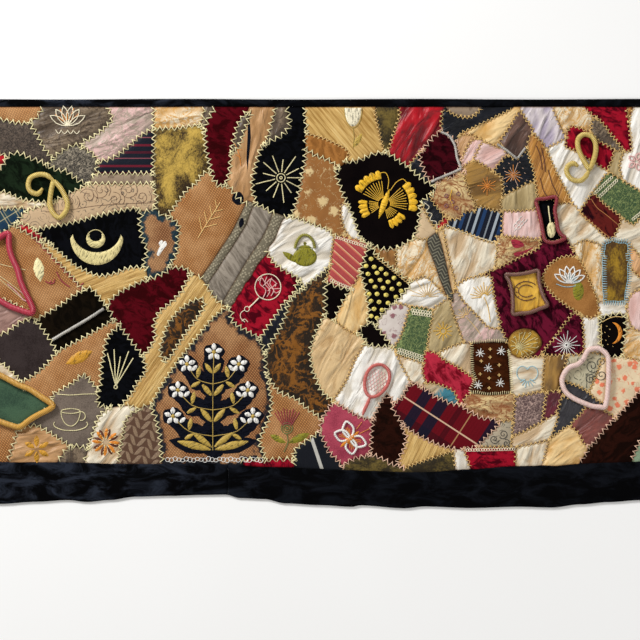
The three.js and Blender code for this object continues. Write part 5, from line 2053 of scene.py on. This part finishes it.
# The padded cords. Cotton cord wrapped in silk floss and couched down: two scrolls, a heart, a pennant, an
# arrow, two small frames and a racket's rim. Each follows the same route as its solid, in metres.
def wrapped_cord(name, hex_colour, dark_hex):
    """Silk-wrapped padded cord: slanted turns of floss about 1.7 mm apart, painted brighter on their crowns
    as a highlight and darker between them as shade.
    """
    material, tree, shader = new_material(name)
    around = add(tree, "ShaderNodeAttribute", {"attribute_name": "weave"})
    placed = add(
        tree, "ShaderNodeMapping", {"Rotation": (0, 0, 0.35)}, {"Vector": around.outputs["Vector"]}
    )
    settings = {"Scale": 0.314 / 1.7, "bands_direction": "X", "Distortion": 0.8, "Detail": 1.0}
    turns = add(tree, "ShaderNodeTexWave", settings, {"Vector": placed.outputs["Vector"]})
    cloud = add(
        tree, "ShaderNodeTexNoise", {"Scale": 0.12, "Detail": 3.0}, {"Vector": around.outputs["Vector"]}
    )
    # Painted highlight and shade: the turns that give the relief light their crowns and darken the gaps,
    # mixed with uneven clouds.
    tone = reckon(
        "ADD", reckon("MULTIPLY", turns.outputs["Fac"], 0.6), reckon("MULTIPLY", cloud.outputs["Fac"], 0.5)
    )
    colour = blend(between(tone, 0.2, 0.72), linear(dark_hex), linear(hex_colour))
    tree.links.new(colour, shader.inputs["Base Color"])
    emboss(shader, turns.outputs["Fac"], 0.0005, 0.8)
    shader.inputs["Roughness"].default_value = 0.42
    shader.inputs["Sheen Weight"].default_value = 0.1
    return material


SCROLL_LEFT_LOOP = [
    (-0.332, 0.152), (-0.325, 0.146), (-0.319, 0.136), (-0.315, 0.125), (-0.317, 0.115), (-0.325, 0.107),
    (-0.333, 0.113), (-0.337, 0.124), (-0.336, 0.137), (-0.334, 0.147),
]
SCROLL_LEFT_CURL = [
    (-0.346, 0.144), (-0.352, 0.137), (-0.361, 0.140), (-0.364, 0.148), (-0.361, 0.157), (-0.351, 0.161),
    (-0.341, 0.160), (-0.332, 0.153),
]
SCROLL_RIGHT_LOOP = [
    (0.336, 0.168), (0.341, 0.178), (0.344, 0.191), (0.343, 0.202), (0.338, 0.209), (0.329, 0.211),
    (0.322, 0.205), (0.322, 0.194), (0.327, 0.182), (0.332, 0.173),
]
SCROLL_RIGHT_CURL = [
    (0.322, 0.171), (0.316, 0.175), (0.309, 0.171), (0.308, 0.163), (0.314, 0.155), (0.324, 0.153),
    (0.331, 0.158), (0.336, 0.167),
]
HEART = [
    (0.328, -0.070), (0.331, -0.064), (0.335, -0.058), (0.342, -0.056), (0.348, -0.056), (0.353, -0.059),
    (0.358, -0.064), (0.360, -0.072), (0.360, -0.083), (0.360, -0.095), (0.359, -0.108), (0.358, -0.119),
    (0.355, -0.129), (0.349, -0.129), (0.340, -0.128), (0.329, -0.124), (0.318, -0.119), (0.308, -0.112),
    (0.303, -0.103), (0.302, -0.094), (0.306, -0.085), (0.312, -0.079), (0.321, -0.076),
]
PENNANT = [
    (-0.410, 0.076), (-0.400, 0.082), (-0.392, 0.087), (-0.388, 0.086), (-0.388, 0.078), (-0.387, 0.067),
    (-0.383, 0.055), (-0.377, 0.042), (-0.374, 0.030), (-0.369, 0.017), (-0.363, 0.005), (-0.358, -0.007),
    (-0.360, -0.012), (-0.366, -0.011), (-0.375, -0.008), (-0.388, -0.003), (-0.400, 0.004),
    (-0.410, 0.010),
]
ARROW = [
    (-0.410, -0.085), (-0.400, -0.089), (-0.388, -0.095), (-0.375, -0.102), (-0.362, -0.107),
    (-0.350, -0.115), (-0.339, -0.122), (-0.333, -0.127), (-0.338, -0.132), (-0.350, -0.138),
    (-0.362, -0.145), (-0.371, -0.152), (-0.377, -0.154), (-0.388, -0.151), (-0.400, -0.147),
    (-0.410, -0.145),
]
SPOON_FRAME = [
    (0.270, 0.129), (0.281, 0.131), (0.294, 0.133), (0.295, 0.126), (0.293, 0.117), (0.295, 0.105),
    (0.297, 0.093), (0.301, 0.086), (0.306, 0.082), (0.299, 0.078), (0.289, 0.076), (0.281, 0.079),
    (0.278, 0.090), (0.275, 0.106), (0.272, 0.118),
]
CHARM_FRAME = [
    (0.232, 0.036), (0.241, 0.036), (0.252, 0.037), (0.262, 0.039), (0.272, 0.041), (0.273, 0.031),
    (0.275, 0.020), (0.279, 0.008), (0.284, -0.002), (0.275, -0.006), (0.262, -0.011), (0.251, -0.012),
    (0.241, -0.013), (0.241, -0.002), (0.240, 0.012), (0.237, 0.026),
]
RACKET = {"centre": (0.0705, -0.0965), "lean": 22, "width": 0.029, "length": 0.042, "handle": 0.025}


def racket_point(across, along):
    """A place on the racket, in metres, from across and along its own length."""
    lean = math.radians(RACKET["lean"])
    x = RACKET["centre"][0] + across * math.cos(lean) + along * math.sin(lean)
    return x, RACKET["centre"][1] - across * math.sin(lean) + along * math.cos(lean)


def racket_rim():
    rim = []
    for k in range(24):
        t = 2 * math.pi * k / 24
        taper = 1 + 0.14 * math.cos(t)
        rim.append(
            racket_point(RACKET["width"] / 2 * taper * math.sin(t), RACKET["length"] / 2 * math.cos(t))
        )
    return rim


def cord_piece(name, node, routes, radius, material, sides=12):
    """A padded cord on the cloth, along open or closed routes in metres, with the wrapping's lumps."""
    verts, faces, weave = [], [], []
    for route, closed in routes:
        line = [Vector((x / MM, y / MM)) for x, y in through(route, closed)]
        walked, first = 0.0, len(verts)
        for k, here in enumerate(line):
            ahead = line[(k + 1) % len(line)] if closed else line[min(k + 1, len(line) - 1)]
            behind = line[k - 1] if closed or k else line[0]
            forward = (ahead - behind).normalized()
            walked += (here - behind).length if k else 0.0
            ends = 1.0 if closed else min(1.0, 0.45 + 0.55 * min(k, len(line) - 1 - k) / 3)
            thick = radius * ends * (1 + 0.06 * noise.noise(Vector((walked / 5, radius, 2.0))))
            z = top_height(here.x, here.y) + 0.4 + radius
            for s in range(sides):
                turn = 2 * math.pi * s / sides
                side = thick * math.cos(turn)
                verts.append(
                    (here.x - forward.y * side, here.y + forward.x * side, z + thick * math.sin(turn))
                )
                weave.append((walked, thick * turn, 0.0))
        count = len(line)
        for k in range(count if closed else count - 1):
            ring, onward = first + k * sides, first + (k + 1) % count * sides
            for s in range(sides):
                t = (s + 1) % sides
                faces.append((ring + s, ring + t, onward + t, onward + s))
        if not closed:
            faces.append(tuple(range(first + sides - 1, first - 1, -1)))
            faces.append(tuple(range(len(verts) - sides, len(verts))))
    piece = mesh_object(name, verts, faces, material)
    set_weave(piece, weave)
    piece.data.shade_smooth()
    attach(piece, "root")
    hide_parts(node)
    return piece


gold_wrap = wrapped_cord("gold silk wrapped cord", "#E4CB74", "#A27F2C")
cord_piece(
    "left_scroll", "scroll_left", [(SCROLL_LEFT_LOOP, True), (SCROLL_LEFT_CURL, False)], 3.2,
    gold_wrap
)
cord_piece(
    "right_scroll", "scroll_right", [(SCROLL_RIGHT_LOOP, True), (SCROLL_RIGHT_CURL, False)],
    3.2, gold_wrap
)
cord_piece(
    "padded_heart", "heart_cord", [(HEART, True)], 3.2,
    wrapped_cord("pink silk wrapped cord", "#FAE2DA", "#D8A89C")
)
cord_piece(
    "padded_pennant", "pennant_cord", [(PENNANT, False)], 3.8,
    wrapped_cord("crimson wrapped cord", "#C8304A", "#86142A")
)
cord_piece(
    "padded_arrow", "arrow_cord", [(ARROW, False)], 3.6,
    wrapped_cord("amber wrapped cord", "#DEAA48", "#A87420")
)
cord_piece(
    "spoon_surround", "spoon_frame", [(SPOON_FRAME, True)], 2.4,
    wrapped_cord("red wrapped cord", "#9E2C36", "#5E121A"), 10
)
cord_piece(
    "charm_surround", "charm_frame", [(CHARM_FRAME, True)], 2.4,
    wrapped_cord("brown wrapped cord", "#8A5E50", "#523228"), 10
)
racket_handle = [
    racket_point(0, -0.021), racket_point(0.0003, -0.030), racket_point(-0.0003, -0.038),
    racket_point(0, -0.046)
]
cord_piece(
    "racket", "racket_cord", [(racket_rim(), True), (racket_handle, False)], 2.1,
    wrapped_cord("coral wrapped cord", "#DB7068", "#A84840"), 10
)


# The border. Black cotton velvet in straight strips, about 56 mm wide, sewn edge to edge with the pieced
# top and turned under at the hem. The lower one is two lengths joined, and its hem ripples. The upper edge
# has a 10 mm binding.
BORDER_WIDTH = 56
STRIP_JOIN = -115
JOIN_GAP = 0.2
BINDING_WIDTH = 10
BINDING_HEIGHT = 3
BINDING_REACH = 468
HALF_LENGTH = 470
LOWEST_HEM = -255.75
UNDERSIDE = 0.12
SEAM_HEIGHT, CROWN_HEIGHT, HEM_HEIGHT, RIPPLE = 2.2, 4.4, 1.8, 0.8


def border_velvet():
    """Black cotton velvet: nearly black, with a painted bluish sheen in clouds, mostly at the left."""
    material, tree, shader = new_material("black border velvet")
    place = add(tree, "ShaderNodeTexCoord")
    stretched = add(tree, "ShaderNodeMapping", {"Scale": (26, 60, 60)}, {"Vector": place.outputs["Object"]})
    brushed = add(
        tree, "ShaderNodeTexNoise", {"Scale": 1.0, "Detail": 5.0, "Roughness": 0.65, "Distortion": 0.8},
        {"Vector": stretched.outputs["Vector"]}
    )
    pile = add(
        tree, "ShaderNodeTexNoise", {"Scale": 900.0, "Detail": 2.0}, {"Vector": place.outputs["Object"]}
    )
    split = add(tree, "ShaderNodeSeparateXYZ", links={"Vector": place.outputs["Object"]})
    # Painted sheen: bluish clouds, strongest at the left end and weaker right of the middle.
    sheen_at_left = reckon("ADD", between(split.outputs["X"], 0.0, -0.3), 0.25)
    clouds = reckon("MULTIPLY", between(brushed.outputs["Fac"], 0.42, 0.68), sheen_at_left)
    colour = blend(clouds, linear("#020203"), linear("#2A2F3A"))
    colour = blend(reckon("MULTIPLY", pile.outputs["Fac"], 0.4), colour, linear("#000000"))
    tree.links.new(colour, shader.inputs["Base Color"])
    emboss(shader, pile.outputs["Fac"], 0.0004, 0.7)
    shader.inputs["Roughness"].default_value = 0.95
    shader.inputs["Specular IOR Level"].default_value = 0.05
    shader.inputs["Sheen Weight"].default_value = 0.03
    shader.inputs["Sheen Tint"].default_value = linear("#9AA6C8")
    return material


def side_wander(y):
    """How far the outer edge of a side strip wanders in, in mm."""
    return 1.5 * math.sin((y - LOWEST_HEM) / 62) ** 2


def top_wander(x):
    """How far the upper edge of the binding wanders in, in mm."""
    return 0.8 * math.sin((x + HALF_LENGTH) / 94) ** 2


def border_height(across, length):
    """How high the velvet stands, in mm, from its seam, where across is 0, to its hem, where it is 1."""
    crown = mix(SEAM_HEIGHT, CROWN_HEIGHT, math.sin(math.pi * min(1, across * 1.06)) ** 0.7)
    ripple = math.sin(length / 13 + 1.4 * math.sin(length / 37)) * math.sin(math.pi * across)
    small = 0.5 * noise.noise(Vector((length / 7, across * 5, 8.0))) * math.sin(math.pi * across)
    return mix(crown + RIPPLE * ripple + small, HEM_HEIGHT, smooth((across - 0.86) / 0.14))


LOWER_SPACING, LOWER_ROWS = 3.2, 20
SIDE_ROWS, SIDE_COLUMNS = 140, 18
BINDING_COLUMNS, BINDING_ROWS = 290, 6


def lower_strip(start, end):
    """Rows from hem to seam, so that its top faces up."""
    columns = max(2, round((end - start) / LOWER_SPACING))
    grid = []
    for j in range(LOWER_ROWS - 1, -1, -1):
        row = []
        for i in range(columns + 1):
            x = mix(start, end, i / columns)
            row.append(
                (x, mix(along_edge(BORDER_SEAM, x), along_edge(BORDER_HEM, x), j / (LOWER_ROWS - 1)))
            )
        grid.append(row)
    return grid


def across_lower(x, y):
    seam_y = along_edge(BORDER_SEAM, x)
    return (seam_y - y) / (seam_y - along_edge(BORDER_HEM, x))


def side_strip(side):
    """Rows up the quilt, each from the left to the right of the strip."""
    grid = []
    lowest = along_edge(BORDER_SEAM, side * (PANEL_SIDE + BORDER_WIDTH / 2)) + 0.4
    for j in range(SIDE_ROWS):
        y = mix(lowest, PANEL_TOP, j / (SIDE_ROWS - 1))
        outer = side * (PANEL_SIDE + BORDER_WIDTH - side_wander(y))
        left, right = sorted((side * (PANEL_SIDE + 0.3), outer))
        grid.append([(mix(left, right, i / SIDE_COLUMNS), y) for i in range(SIDE_COLUMNS + 1)])
    return grid


def across_side(x, y):
    return max(0.0, min(1.0, (abs(x) - PANEL_SIDE) / (BORDER_WIDTH - side_wander(y))))


def binding_rows():
    """Rows up the binding, each from its left end to its right."""
    grid = []
    for j in range(BINDING_ROWS + 1):
        row = []
        for i in range(BINDING_COLUMNS + 1):
            x = mix(-BINDING_REACH, BINDING_REACH, i / BINDING_COLUMNS)
            row.append(
                (x, mix(PANEL_TOP + 0.2, PANEL_TOP + BINDING_WIDTH - top_wander(x), j / BINDING_ROWS))
            )
        grid.append(row)
    return grid


def binding_height(x, y):
    return BINDING_HEIGHT * mix(
        0.72, 1, math.sin(math.pi * min(1, max(0, (y - PANEL_TOP) / BINDING_WIDTH)))
    )


def lower_height(x, y):
    return border_height(across_lower(x, y), x)


def side_height(x, y):
    return border_height(across_side(x, y), y)


velvet = border_velvet()
left_rows = lower_strip(-HALF_LENGTH, STRIP_JOIN - JOIN_GAP)
right_rows = lower_strip(STRIP_JOIN + JOIN_GAP, HALF_LENGTH)
for name, node, rows, top, flat in (
    ("border_low_left", "lower_border_left", left_rows, lower_height, (0.355, 0.052)),
    ("border_low_right", "lower_border_right", right_rows, lower_height, (0.585, 0.052)),
    ("border_left", "side_border_left", side_strip(-1), side_height, (0.055, 0.443)),
    ("border_right", "side_border_right", side_strip(1), side_height, (0.055, 0.443)),
    ("binding_top", "upper_binding", binding_rows(), binding_height, (0.936, 0.0105)),
):
    verts, faces = closed_sheet(rows, top, lambda x, y: UNDERSIDE)
    strip = mesh_object(name, verts, faces, velvet)
    strip.data.shade_smooth()
    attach(strip, "root")
    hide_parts(node)
